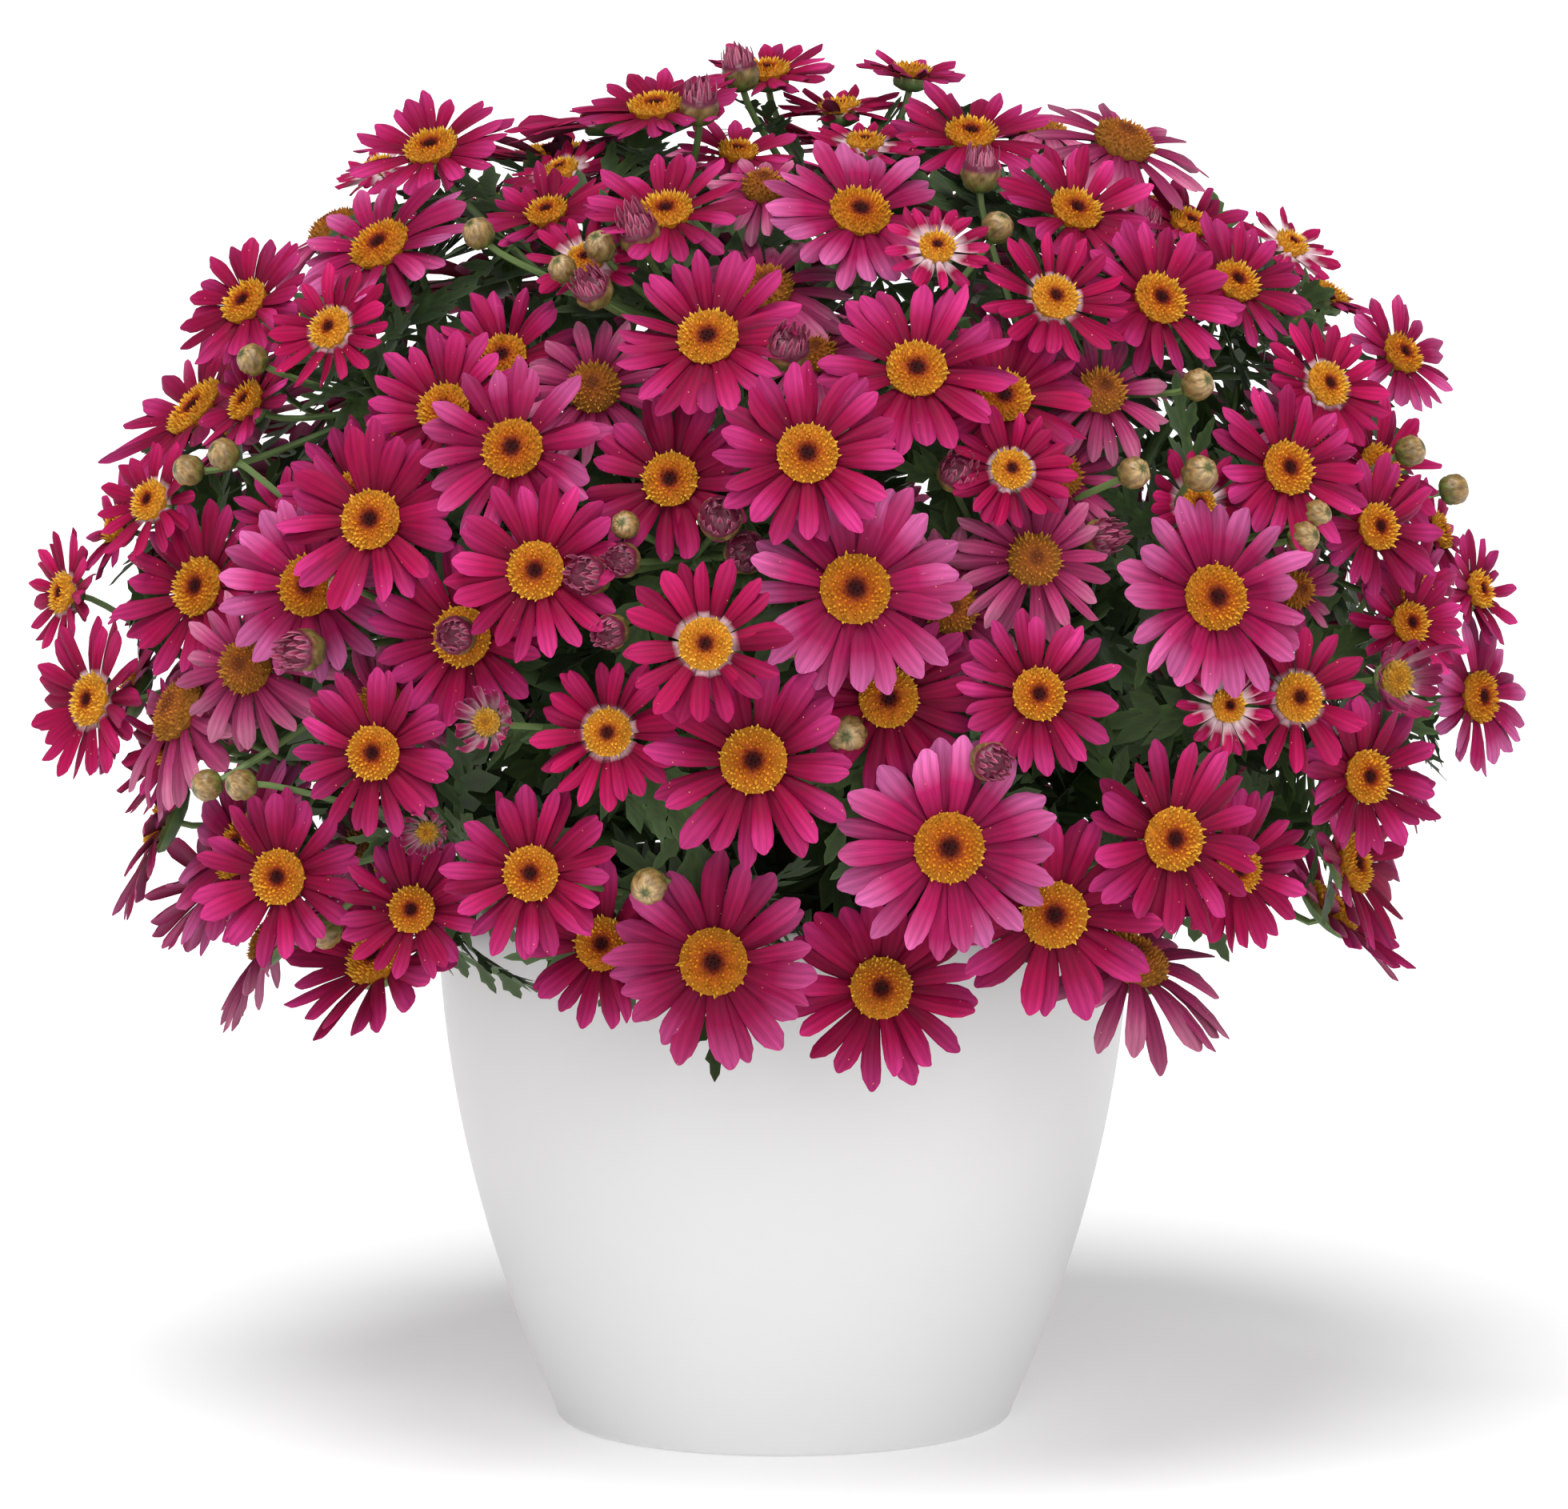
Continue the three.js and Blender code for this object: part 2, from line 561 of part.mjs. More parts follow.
function planPlant() {
  const heads = placeHeads();
  const stems = Array.from({ length: OUTER_STEMS + 1 }, (_, index) => planStem(index));
  const sprays = groupHeads(heads).map((group) => ({ heads: group, buds: [], fork: forkOf(group) }));
  for (const spray of sprays) {
    const stem = stems[stemServing(spray.fork)];
    spray.start = branchStart(stem, spray.fork);
    spray.axis = unit(sub(spray.fork, spray.start));
    spray.seat = add(spray.fork, spray.axis, -FORK_LENGTH * FORK_BEHIND);
    stem.sprays.push(spray);
  }
  placeBuds(sprays);
  const plant = { heads, sprays, stems };
  growLeaves(plant);
  return plant;
}

// ---------------------------------------------------------------- solids

// A closed geometry from points and triangles.
function geometryFrom(points, faces) {
  const geometry = new THREE.BufferGeometry();
  geometry.setAttribute("position", new THREE.Float32BufferAttribute(points.flat(), 3));
  geometry.setIndex(faces.flat());
  return geometry;
}

// The same geometry as a solid that can be joined and cut.
function solidFrom(geometry) {
  geometry.deleteAttribute("normal");
  geometry.deleteAttribute("uv");
  const merged = mergeVertices(geometry, 1e-4);
  const index = merged.index.array;
  const faces = [];
  for (let k = 0; k < index.length; k += 3) {
    const [a, b, c] = [index[k], index[k + 1], index[k + 2]];
    if (a !== b && b !== c && c !== a) faces.push(a, b, c);
  }
  const vertProperties = new Float32Array(merged.attributes.position.array);
  return new wasm.Manifold(new wasm.Mesh({ numProp: 3, vertProperties, triVerts: new Uint32Array(faces) }));
}

const joined = (solids) => solids.reduce((whole, next) => whole.add(next));

function meshFrom(name, solid, color, roughness) {
  const { vertProperties, triVerts } = solid.getMesh();
  const geometry = new THREE.BufferGeometry();
  geometry.setAttribute("position", new THREE.BufferAttribute(vertProperties, 3));
  geometry.setIndex(new THREE.BufferAttribute(triVerts, 1));
  const material = new THREE.MeshStandardMaterial({ color, roughness, metalness: 0, flatShading: true });
  const mesh = new THREE.Mesh(geometry, material);
  mesh.name = name;
  return mesh;
}

// Turns a vector by the least turn that takes one direction to another; the vector is square to the first.
function carry(vector, from, to) {
  return add(vector, add(from, to), -dot(to, vector) / (1 + dot(from, to)));
}

// A closed skin along a path: a ring of points at each stop, square to the path there, and flat ends.
function tubeAlong(path, radii, sides, firstSide) {
  const points = [];
  const faces = [];
  let heading = unit(sub(path[1], path[0]));
  let side = firstSide;
  path.forEach((centre, stop) => {
    const before = stop ? unit(sub(centre, path[stop - 1])) : heading;
    const after = stop + 1 < path.length ? unit(sub(path[stop + 1], centre)) : before;
    const direction = unit(add(before, after));
    side = unit(carry(side, heading, direction));
    heading = direction;
    const other = cross(direction, side);
    for (let k = 0; k < sides; k++) {
      const angle = (k / sides) * 2 * Math.PI;
      const across = add([0, 0, 0], side, radii[stop] * Math.cos(angle));
      points.push(add(centre, add(across, other, radii[stop] * Math.sin(angle))));
    }
  });
  for (let stop = 0; stop + 1 < path.length; stop++) {
    for (let k = 0; k < sides; k++) {
      const [a, b] = [stop * sides + k, stop * sides + ((k + 1) % sides)];
      faces.push([a, b, b + sides], [a, b + sides, a + sides]);
    }
  }
  const last = (path.length - 1) * sides;
  for (let k = 1; k + 1 < sides; k++) {
    faces.push([0, k + 1, k], [last, last + k, last + k + 1]);
  }
  return geometryFrom(points, faces);
}

// Any direction square to the given one.
const squareTo = (direction) => unit(cross(direction, Math.abs(direction[2]) < 0.8 ? [0, 0, 1] : [0, 1, 0]));

// ---------------------------------------------------------------- flower heads, buds and their stalks

// Large heads have seven petals and small ones six.
const LARGE_HEAD = 23;
const PETAL_HALF = 0.3;
const ELBOW = 8;
const STRAIGHT_ENOUGH = 0.5;

// Rings of three points that lead from a flower's foot down to its fork, by way of an elbow where it bends much.
function stalkRings(foot, normal, side, fork) {
  const down = add([0, 0, 0], normal, -1);
  const straight = unit(sub(fork, foot));
  const elbow = dot(down, straight) > STRAIGHT_ENOUGH ? foot : add(foot, down, ELBOW);
  const onward = unit(sub(fork, elbow));
  const stops = [[foot, down], [elbow, unit(add(down, onward))], [add(fork, onward, -STALK_STOP), onward]];
  if (elbow === foot) stops.splice(1, 1);
  return stops.map(([centre, direction]) => {
    const first = unit(carry(side, down, direction));
    const other = cross(direction, first);
    return [0, 1, 2].map((k) => {
      const angle = -(k * 2 * Math.PI) / 3;
      const across = add([0, 0, 0], first, STALK_RADIUS * Math.cos(angle));
      return add(centre, add(across, other, STALK_RADIUS * Math.sin(angle)));
    });
  });
}

// The walls and the end of a stalk of so many rings of three, from the given point number on.
function stalkFaces(start, rings) {
  const faces = [];
  for (let ring = 0; ring + 1 < rings; ring++) {
    for (let k = 0; k < 3; k++) {
      const [a, b] = [start + 3 * ring + k, start + 3 * ring + ((k + 1) % 3)];
      faces.push([a + 3, b + 3, b], [a + 3, b, a]);
    }
  }
  const end = start + 3 * (rings - 1);
  faces.push([end, end + 2, end + 1]);
  return faces;
}

// Faces that close an outline in to the top ring of a stalk, seen from below. Angles run up from 0 in both.
function underside(outline, stalk) {
  const faces = [];
  let ring = 0;
  for (let i = 0; i < outline.length; i++) {
    const here = outline[i];
    const next = outline[(i + 1) % outline.length];
    if (here.angle > ((ring + 0.5) * 2 * Math.PI) / 3) {
      faces.push([stalk + ring, stalk + ((ring + 1) % 3), here.index]);
      ring += 1;
    }
    faces.push([stalk + (ring % 3), next.index, here.index]);
  }
  if (ring < 3) faces.push([stalk + 2, stalk, outline[0].index]);
  return faces;
}

// A star of blunt petals round a raised disc; its underside narrows into the stalk.
function headSolid(head, fork) {
  const across = (angle) => {
    const [c, s] = [Math.cos(head.spin + angle), Math.sin(head.spin + angle)];
    return add([head.side[0] * c, head.side[1] * c, head.side[2] * c], head.other, s);
  };
  const at = (radius, angle, height) => add(add(head.centre, across(angle), radius), head.normal, height);
  const petals = head.radius < LARGE_HEAD ? 6 : 7;
  const pitch = (2 * Math.PI) / petals;
  const points = [];
  const outline = [];
  const lift = CUP[head.age] * head.radius;
  for (let k = 0; k < petals; k++) {
    const reach = head.radius * (k % 2 ? 1 : 0.94);
    const angles = [k * pitch, (k + 0.5 - PETAL_HALF) * pitch, (k + 0.5 + PETAL_HALF) * pitch];
    angles.forEach((angle, part) => outline.push({ angle, index: 3 * k + part }));
    points.push(at(head.radius * DISC_SHARE, angles[0], DISC_HEIGHT));
    points.push(at(reach, angles[1], lift));
    points.push(at(reach, angles[2], lift));
  }
  const apex = points.length;
  points.push(at(0, 0, DISC_HEIGHT + DISC_DOME));
  const faces = [];
  for (let k = 0; k < petals; k++) {
    const [root, left, right] = [3 * k, 3 * k + 1, 3 * k + 2];
    const nextRoot = (3 * k + 3) % (3 * petals);
    faces.push([root, left, right], [root, right, nextRoot], [root, nextRoot, apex]);
  }
  const stalk = points.length;
  const foot = add(head.centre, head.normal, -CALYX_DEPTH);
  const rings = stalkRings(foot, head.normal, across(0), fork);
  points.push(...rings.flat());
  faces.push(...underside(outline, stalk), ...stalkFaces(stalk, rings.length));
  return solidFrom(geometryFrom(points, faces));
}

// A round bud: a pointed cap and a belly of five points, which narrows into the stalk.
function budSolid(bud, fork) {
  const inward = unit(sub(fork, bud.centre));
  const normal = unit(add(domeNormal(bud.centre), inward, -0.5));
  const side = squareTo(normal);
  const other = cross(normal, side);
  const outline = [];
  const points = [];
  for (let k = 0; k < 5; k++) {
    const angle = (k * 2 * Math.PI) / 5;
    const across = add([0, 0, 0], side, bud.radius * Math.cos(angle));
    outline.push({ angle, index: k });
    points.push(add(bud.centre, add(across, other, bud.radius * Math.sin(angle))));
  }
  points.push(add(bud.centre, normal, bud.radius));
  const foot = add(bud.centre, normal, -bud.radius);
  const rings = stalkRings(foot, normal, side, fork);
  points.push(...rings.flat());
  const faces = [0, 1, 2, 3, 4].map((k) => [k, (k + 1) % 5, 5]);
  faces.push(...underside(outline, 6), ...stalkFaces(6, rings.length));
  return solidFrom(geometryFrom(points, faces));
}

// The knot where a spray's stalks meet: a short six-sided barrel that sits on a branch end.
function forkSolid(spray) {
  const end = add(spray.seat, spray.axis, FORK_LENGTH);
  return solidFrom(tubeAlong([spray.seat, end], [FORK_RADIUS, FORK_RADIUS], 6, squareTo(spray.axis)));
}

function spraySolid(spray) {
  const flowers = spray.heads.map((head) => headSolid(head, spray.fork));
  const buds = spray.buds.map((bud) => budSolid(bud, spray.fork));
  return joined([forkSolid(spray), ...flowers, ...buds]);
}

// ---------------------------------------------------------------- leafy stems

// A leaf cut into lobes: [share of its length, share of its length to the side] down one side, root to tip.
const LEAF_EDGE = [[0.34, 0.04], [0.5, 0.25], [0.54, 0.07], [0.76, 0.28], [0.8, 0.08]];
const LEAF_RIB = [0.42, 0.66];
const LEAF_STALK_HALF = 0.018;

// A thin lens-shaped blade: both faces share the cut outline, and the rib is its thickest line.
function leafSolid(leaf) {
  const half = LEAF_THICKNESS / 2;
  const points = [];
  const left = LEAF_EDGE.map(([along, across]) => points.push(leafPoint(leaf, along, across)) - 1);
  const right = LEAF_EDGE.map(([along, across]) => points.push(leafPoint(leaf, along, -across)) - 1);
  const above = LEAF_RIB.map((along) => points.push(leafPoint(leaf, along, 0, half)) - 1);
  const below = LEAF_RIB.map((along) => points.push(leafPoint(leaf, along, 0, -half)) - 1);
  const tip = points.push(leafPoint(leaf, 1, 0)) - 1;
  const rootLeft = points.push(leafPoint(leaf, 0, LEAF_STALK_HALF)) - 1;
  const rootRight = points.push(leafPoint(leaf, 0, -LEAF_STALK_HALF)) - 1;
  const rootAbove = points.push(leafPoint(leaf, 0, 0, half)) - 1;
  const rootBelow = points.push(leafPoint(leaf, 0, 0, -half)) - 1;
  const faces = [[rootLeft, rootAbove, rootBelow], [rootRight, rootBelow, rootAbove]];
  // Which rib point each stretch of the edge is tied to.
  const tied = [0, 1, 1, 2, 2, 2];
  for (const [edge, rib, flip] of [
    [[rootLeft, ...left, tip], [rootAbove, ...above, tip], true],
    [[rootRight, ...right, tip], [rootAbove, ...above, tip], false],
    [[rootLeft, ...left, tip], [rootBelow, ...below, tip], false],
    [[rootRight, ...right, tip], [rootBelow, ...below, tip], true],
  ]) {
    for (let k = 0; k + 1 < edge.length; k++) {
      const face = [edge[k], rib[tied[k]], edge[k + 1]];
      if (new Set(face).size === 3) faces.push(flip ? face.reverse() : face);
      if (k + 2 < edge.length && tied[k + 1] !== tied[k]) {
        const step = [edge[k + 1], rib[tied[k]], rib[tied[k + 1]]];
        faces.push(flip ? step.reverse() : step);
      }
    }
  }
  return solidFrom(geometryFrom(points, faces));
}

// A stem rises from its hole in the soil, and sends a branch from its leader to the seat of each spray.
function stemSolid(stem) {
  const bottom = add(stem.foot, [0, 0, -STEM_DEPTH]);
  const collar = add(stem.foot, [0, 0, STEM_COLLAR]);
  const radii = [STEM_RADIUS, STEM_RADIUS, STEM_RADIUS * 0.9, STEM_RADIUS * 0.7];
  const leader = tubeAlong([bottom, collar, stem.crotch, stem.top], radii, 6, [1, 0, 0]);
  const branches = stem.sprays.map((spray) => {
    const end = add(spray.seat, spray.axis, -GAP);
    return solidFrom(tubeAlong([spray.start, end], [BRANCH_RADIUS, BRANCH_RADIUS], 3, squareTo(spray.axis)));
  });
  return joined([solidFrom(leader), ...branches, ...stem.leaves.map(leafSolid)]);
}

// ---------------------------------------------------------------- the pot and its soil

// The outside of the pot is a parabola in section: steep at the foot and upright at the rim.
const wallRadius = (level) => POT_RIM_RADIUS - (POT_RIM_RADIUS - POT_FOOT_RADIUS) * (1 - level / POT_HEIGHT) ** 2;
const levels = (from, to, steps) => Array.from({ length: steps + 1 }, (_, k) => from + ((to - from) * k) / steps);
const FILLED_LEVELS = levels(POT_FLOOR, SOIL_LEVEL, 3);

// A closed solid of revolution about the Z axis from [radius, level] points.
function turned(profile) {
  const points = profile.map(([radius, level]) => new THREE.Vector2(radius, level));
  const geometry = new THREE.LatheGeometry(points, POT_SIDES);
  geometry.rotateX(Math.PI / 2);
  return solidFrom(geometry);
}

function potSolid() {
  const outside = levels(4, POT_HEIGHT - POT_LIP, 5).map((level) => [wallRadius(level), level]);
  const inside = [...FILLED_LEVELS, POT_HEIGHT - POT_LIP].map((level) => [wallRadius(level) - POT_WALL, level]);
  return turned([
    [0, 0],
    [POT_FOOT_RADIUS - 1.5, 0],
    ...outside,
    [POT_RIM_RADIUS - 0.8, POT_HEIGHT],
    [POT_RIM_RADIUS - POT_WALL + 0.6, POT_HEIGHT],
    ...inside.reverse(),
    [0, POT_FLOOR],
  ]);
}

function soilSolid(stems) {
  const low = POT_FLOOR + GAP;
  const room = POT_WALL + 1.4 * GAP;
  const side = FILLED_LEVELS.map((level) => [wallRadius(level) - room, Math.max(low, level)]);
  const soil = turned([[0, low], ...side, [0, SOIL_LEVEL + SOIL_CROWN]]);
  const holes = stems.map((stem) => {
    const bottom = add(stem.foot, [0, 0, -STEM_DEPTH - GAP]);
    const top = add(stem.foot, [0, 0, SOIL_CROWN + 4]);
    const radius = STEM_RADIUS + GAP / Math.cos(Math.PI / 6);
    return solidFrom(tubeAlong([bottom, top], [radius, radius], 6, [1, 0, 0]));
  });
  return soil.subtract(joined(holes));
}

// ---------------------------------------------------------------- the whole plant

const WHITE_PLASTIC = 0xf1f1ee;
const MOIST_SOIL = 0x2c221b;
const LEAF_GREEN = 0x4f6b3f;
const FLOWER_COLOURS = [0xb3145f, 0xc2266f, 0xa3124f];

const numbered = (word, index) => `${word}_${String(index + 1).padStart(2, "0")}`;

const layout = planPlant();
const plant = new THREE.Group();
plant.add(meshFrom("pot", potSolid(), WHITE_PLASTIC, 0.35));
plant.add(meshFrom("soil", soilSolid(layout.stems), MOIST_SOIL, 0.95));
layout.stems.forEach((stem, index) => {
  plant.add(meshFrom(numbered("leafy_stem", index), stemSolid(stem), LEAF_GREEN, 0.7));
});
layout.sprays.forEach((spray, index) => {
  const colour = FLOWER_COLOURS[index % FLOWER_COLOURS.length];
  plant.add(meshFrom(numbered("flower_spray", index), spraySolid(spray), colour, 0.6));
});
export default plant;
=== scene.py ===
"""A magenta marguerite daisy in full flower in a white planter, dressed round its CAD frame.

The planting plan comes first: where each head, bud, fork, branch and leaf stands. It follows the rules and
seeds of the frame's own solids, in millimetres, with +Z up, the front facing -Y and the origin at the centre
of the planter's base. The sub-assemblies then grow their surfaces on it, and each mesh is made in metres.
"""

import logging
import math
from dataclasses import dataclass, field
from enum import Enum

import bpy
import numpy as np
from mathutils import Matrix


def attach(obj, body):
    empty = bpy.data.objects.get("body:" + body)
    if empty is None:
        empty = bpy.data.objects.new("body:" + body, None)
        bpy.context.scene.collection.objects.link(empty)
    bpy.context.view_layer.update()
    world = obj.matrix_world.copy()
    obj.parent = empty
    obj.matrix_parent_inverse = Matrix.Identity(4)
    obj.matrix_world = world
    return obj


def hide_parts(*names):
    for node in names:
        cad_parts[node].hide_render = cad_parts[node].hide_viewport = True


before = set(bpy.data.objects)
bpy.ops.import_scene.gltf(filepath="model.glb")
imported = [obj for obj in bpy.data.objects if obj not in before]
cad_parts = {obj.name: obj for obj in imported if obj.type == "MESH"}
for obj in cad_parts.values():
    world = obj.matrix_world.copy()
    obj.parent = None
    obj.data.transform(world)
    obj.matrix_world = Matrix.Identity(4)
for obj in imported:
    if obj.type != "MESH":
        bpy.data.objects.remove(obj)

Array = np.ndarray
LOG = logging.getLogger("marguerite")
MM = 0.001
BODY = "root"
TURN = 2 * math.pi

# ---- where the front heads stand


class Age(Enum):
    """How far a flower head has come."""

    YOUNG = "y"
    FULL = "m"
    PALING = "p"
    OLD = "o"
    HALF_OPEN = "h"
    WILTED = "w"


# Each row is (across, up, width, layer, age, facing): how far right of the axis and above the base the head
# lines up from the sight point, its full width, its layer (0 proud, 1 tucked, 2 deep), its age, and how far
# it turns towards the sight point, if it has a turn of its own.
FRONT_HEADS = (
    (-35, 362, 42, 0, "m"), (-96, 351, 42, 0, "m", 0.5), (-64, 352, 28, 1, "y", 0.2),
    (-114, 344, 24, 1, "y", 0.3), (51, 355, 40, 0, "m"), (15, 362, 31, 1, "y"), (23, 353, 29, 2, "y"),
    (37, 371, 28, 1, "m", 0.2), (-4, 370, 33, 1, "m", 0.3), (92, 352, 48, 0, "o"), (79, 334, 41, 0, "m"),
    (21, 333, 48, 0, "p"), (-6, 339, 33, 1, "o"), (-32, 332, 42, 0, "m", 0.2), (-55, 325, 29, 0, "y"),
    (-68, 332, 33, 2, "m"), (-109, 324, 48, 0, "p", 0.4), (-144, 307, 39, 0, "m"),
    (-121, 295, 34, 0, "y"), (-84, 299, 39, 1, "m"), (-57, 286, 42, 2, "o"), (-20, 297, 48, 0, "m", 0.4),
    (-2, 315, 44, 2, "o"), (39, 319, 28, 0, "y"), (72, 308, 38, 0, "y", 0.5), (101, 309, 43, 0, "m"),
    (115, 331, 33, 1, "m", 0.3), (126, 312, 38, 1, "m"), (137, 324, 26, 0, "y", 0.3),
    (155, 310, 27, 1, "m", 0.1), (167, 294, 34, 0, "p", 0.5), (148, 285, 36, 0, "y", 0.6),
    (37, 289, 48, 0, "m"), (58, 282, 44, 1, "m"), (90, 283, 38, 1, "o"), (9, 303, 33, 2, "o"),
    (-97, 279, 43, 1, "m"), (-122, 283, 29, 2, "m"), (-151, 280, 33, 1, "m", 0.0), (-73, 268, 48, 0, "p"),
    (-32, 262, 44, 0, "m"), (6, 264, 48, 0, "m"), (-127, 264, 42, 1, "m"), (-111, 248, 48, 0, "m"),
    (-171, 251, 33, 0, "y"), (-170, 237, 47, 1, "m"), (-194, 230, 32, 0, "y"), (-133, 231, 49, 1, "p"),
    (-65, 234, 46, 0, "m"), (-92, 214, 48, 1, "m"), (-153, 207, 44, 1, "o"), (-185, 198, 41, 0, "y"),
    (-109, 180, 43, 0, "m"), (-122, 190, 42, 2, "o"), (-49, 189, 38, 0, "y"), (-20, 214, 42, 0, "y"),
    (21, 229, 56, 0, "p"), (43, 225, 44, 2, "o"), (68, 235, 42, 1, "o"), (61, 262, 32, 0, "y"),
    (82, 260, 36, 2, "o"), (134, 261, 43, 0, "m"), (124, 247, 29, 1, "y"), (117, 227, 52, 0, "p"),
    (159, 246, 37, 0, "m"), (168, 264, 38, 1, "m"), (190, 239, 29, 1, "m", 0.2),
    (178, 227, 38, 1, "p", 0.3), (167, 219, 33, 0, "m"), (151, 228, 29, 2, "o"), (68, 200, 42, 0, "m"),
    (30, 198, 48, 1, "m"), (-8, 182, 53, 0, "m"), (119, 200, 27, 0, "y"), (137, 199, 39, 0, "y"),
    (161, 205, 29, 0, "h"), (188, 199, 40, 0, "p"), (157, 177, 42, 0, "m"), (103, 161, 50, 0, "m"),
    (44, 158, 56, 0, "p"), (73, 139, 53, 0, "m"), (26, 120, 49, 0, "m"), (-19, 126, 54, 0, "p"),
    (-50, 125, 43, 0, "m"), (-68, 150, 44, 0, "m"), (-100, 143, 37, 0, "m"), (-135, 150, 44, 0, "m"),
    (-148, 129, 29, 2, "w"), (128, 150, 40, 1, "m"), (-180, 184, 34, 1, "m", 0.2),
    (-102, 162, 17, 0, "h"), (-79, 193, 22, 0, "h"), (-146, 245, 33, 2, "m"), (153, 276, 33, 2, "o"),
    (-198, 243, 30, 1, "m", 0.3), (196, 236, 30, 1, "m", 0.3), (-14, 350, 30, 2, "m"),
)
# Each row is (across, up, width, pink): pink is 1 where petals already show at the tip.
FRONT_BUDS = (
    (-82, 322, 8, 0), (-59, 312, 7, 0), (-49, 318, 8, 0), (-51, 307, 10, 1), (-142, 289, 8, 0),
    (-149, 264, 8, 0), (-159, 260, 8, 0), (-117, 229, 8, 0), (-128, 212, 11, 1), (-87, 216, 10, 1),
    (-52, 232, 11, 1), (-154, 176, 8, 0), (-145, 176, 8, 0), (-124, 140, 9, 0), (-36, 151, 9, 0),
    (18, 188, 10, 0), (93, 259, 8, 0), (111, 259, 9, 0), (94, 245, 10, 1), (48, 261, 10, 1),
    (110, 282, 8, 0), (132, 298, 9, 0), (142, 248, 8, 0), (138, 242, 8, 0), (167, 265, 8, 0),
    (179, 255, 8, 0), (53, 338, 10, 1), (57, 323, 8, 0), (-23, 356, 10, 1), (-12, 365, 10, 1),
    (1, 291, 11, 1), (-17, 247, 11, 1), (-11, 240, 11, 1), (-42, 245, 7, 0), (-43, 236, 9, 1),
    (-46, 217, 9, 1), (55, 182, 10, 1), (105, 337, 10, 1), (2, 214, 8, 0), (-39, 322, 11, 1),
)

# ---- vectors and seeded draws


def vector(*parts: float) -> Array:
    """Three numbers as an array."""
    return np.array(parts, float)


def lengths(v: Array) -> Array:
    """The length of each vector in the last axis."""
    return np.sqrt((v * v).sum(-1))


def unit(v: Array) -> Array:
    """Each vector in the last axis at length one."""
    return v / np.maximum(lengths(v), 1e-12)[..., None]


def square_to(direction: Array) -> Array:
    """Any unit vector square to each given one."""
    upright = np.abs(direction[..., 2:3]) >= 0.8
    return unit(np.cross(direction, np.where(upright, vector(0, 1, 0), vector(0, 0, 1))))


def smooth(x: Array, low: float, high: float) -> Array:
    """Zero below low, one above high, and a smooth step between them."""
    t = np.clip((x - low) / (high - low), 0, 1)
    return t * t * (3 - 2 * t)


def blend(low: Array, high: Array, share: Array) -> Array:
    """From low at share zero to high at share one."""
    return low + (high - low) * share


def turns(count: int) -> Array:
    """Angles evenly round a circle, starting at zero."""
    return np.arange(count) / count * TURN


def around(turn: Array, side: Array, other: Array) -> Array:
    """The direction at each angle: cos(angle) side + sin(angle) other."""
    return np.cos(turn)[..., None] * side + np.sin(turn)[..., None] * other


def joined(*parts: Array) -> Array:
    """Parts that broadcast together, side by side in a new last axis."""
    return np.stack(np.broadcast_arrays(*parts), -1)


def circle(radius: Array, turn: Array, level: Array) -> Array:
    """The points at each angle round the upright axis, at a radius and a level."""
    return joined(radius * np.cos(turn), radius * np.sin(turn), level)


def piece_distance(points: Array, start: Array, end: Array) -> Array:
    """The least distance from each point to each straight piece.

    Args:
        points: n points.
        start: One end of each of m pieces.
        end: The other end of each.

    Returns:
        An n by m table.
    """
    along = end - start
    offset = points[:, None] - start[None]
    share = np.clip((offset * along).sum(-1) / (along * along).sum(-1), 0, 1)
    return lengths(offset - along * share[..., None])


class Draws:
    """A 32-bit congruential generator, so that every draw is the same on each run."""

    def __init__(self, seed: int) -> None:
        """Starts the generator from a seed."""
        self.state = seed

    def next(self) -> float:
        """The next draw, from 0 to 1."""
        self.state = (self.state * 1664525 + 1013904223) & 0xFFFFFFFF
        return self.state / 4294967296

    def vector(self, reach: float) -> Array:
        """A vector with each part drawn evenly from -reach to reach."""
        return vector(*[(self.next() * 2 - 1) * reach for _ in range(3)])


# ---- the dome


@dataclass(frozen=True)
class Dome:
    """The crown of flowers: its widest level, its radius there, and how far it rises and falls from it."""

    level: float = 205
    radius: float = 186
    rise: float = 163
    fall: float = 80

    def shares(self, p: Array) -> tuple[Array, Array, Array]:
        """How far out and how far up or down each point is, as shares of the dome, and the reach upright.

        Args:
            p: Any number of points.

        Returns:
            Shares across, shares upright, and the reach up or down.
        """
        reach = np.where(p[..., 2] > self.level, self.rise, self.fall)
        across = np.sqrt(p[..., 0] * p[..., 0] + p[..., 1] * p[..., 1])
        return across / self.radius, np.abs(p[..., 2] - self.level) / reach, reach

    def value(self, p: Array) -> Array:
        """Below zero inside the dome and above it outside: a superellipsoid of power 2.5."""
        radial, upright, _ = self.shares(p)
        return radial * radial * np.sqrt(radial) + upright * upright * np.sqrt(upright) - 1

    def normal(self, p: Array) -> Array:
        """The dome's outward normal at each point: the gradient of its value.

        Args:
            p: Any number of points.

        Returns:
            A unit vector for each point.
        """
        radial, upright, reach = self.shares(p)
        radial = np.maximum(radial, 1e-6 / self.radius)
        outward = radial * np.sqrt(radial) / self.radius / (radial * self.radius)
        upward = upright * np.sqrt(upright) / reach * np.where(p[..., 2] > self.level, 1, -1)
        return unit(np.stack([p[..., 0] * outward, p[..., 1] * outward, upward], -1))

    def onto(self, p: Array) -> Array:
        """Slides each point along the ray from the dome's middle until it lies on the dome.

        Args:
            p: Any number of points.

        Returns:
            The point of the dome on each ray.
        """
        middle = vector(0, 0, self.level)
        ray = p - middle
        low = np.zeros(p.shape[:-1])
        high = low + 4
        for _ in range(40):
            half = (low + high) / 2
            inside = self.value(middle + ray * half[..., None]) < 0
            low, high = np.where(inside, half, low), np.where(inside, high, half)
        return middle + ray * low[..., None]


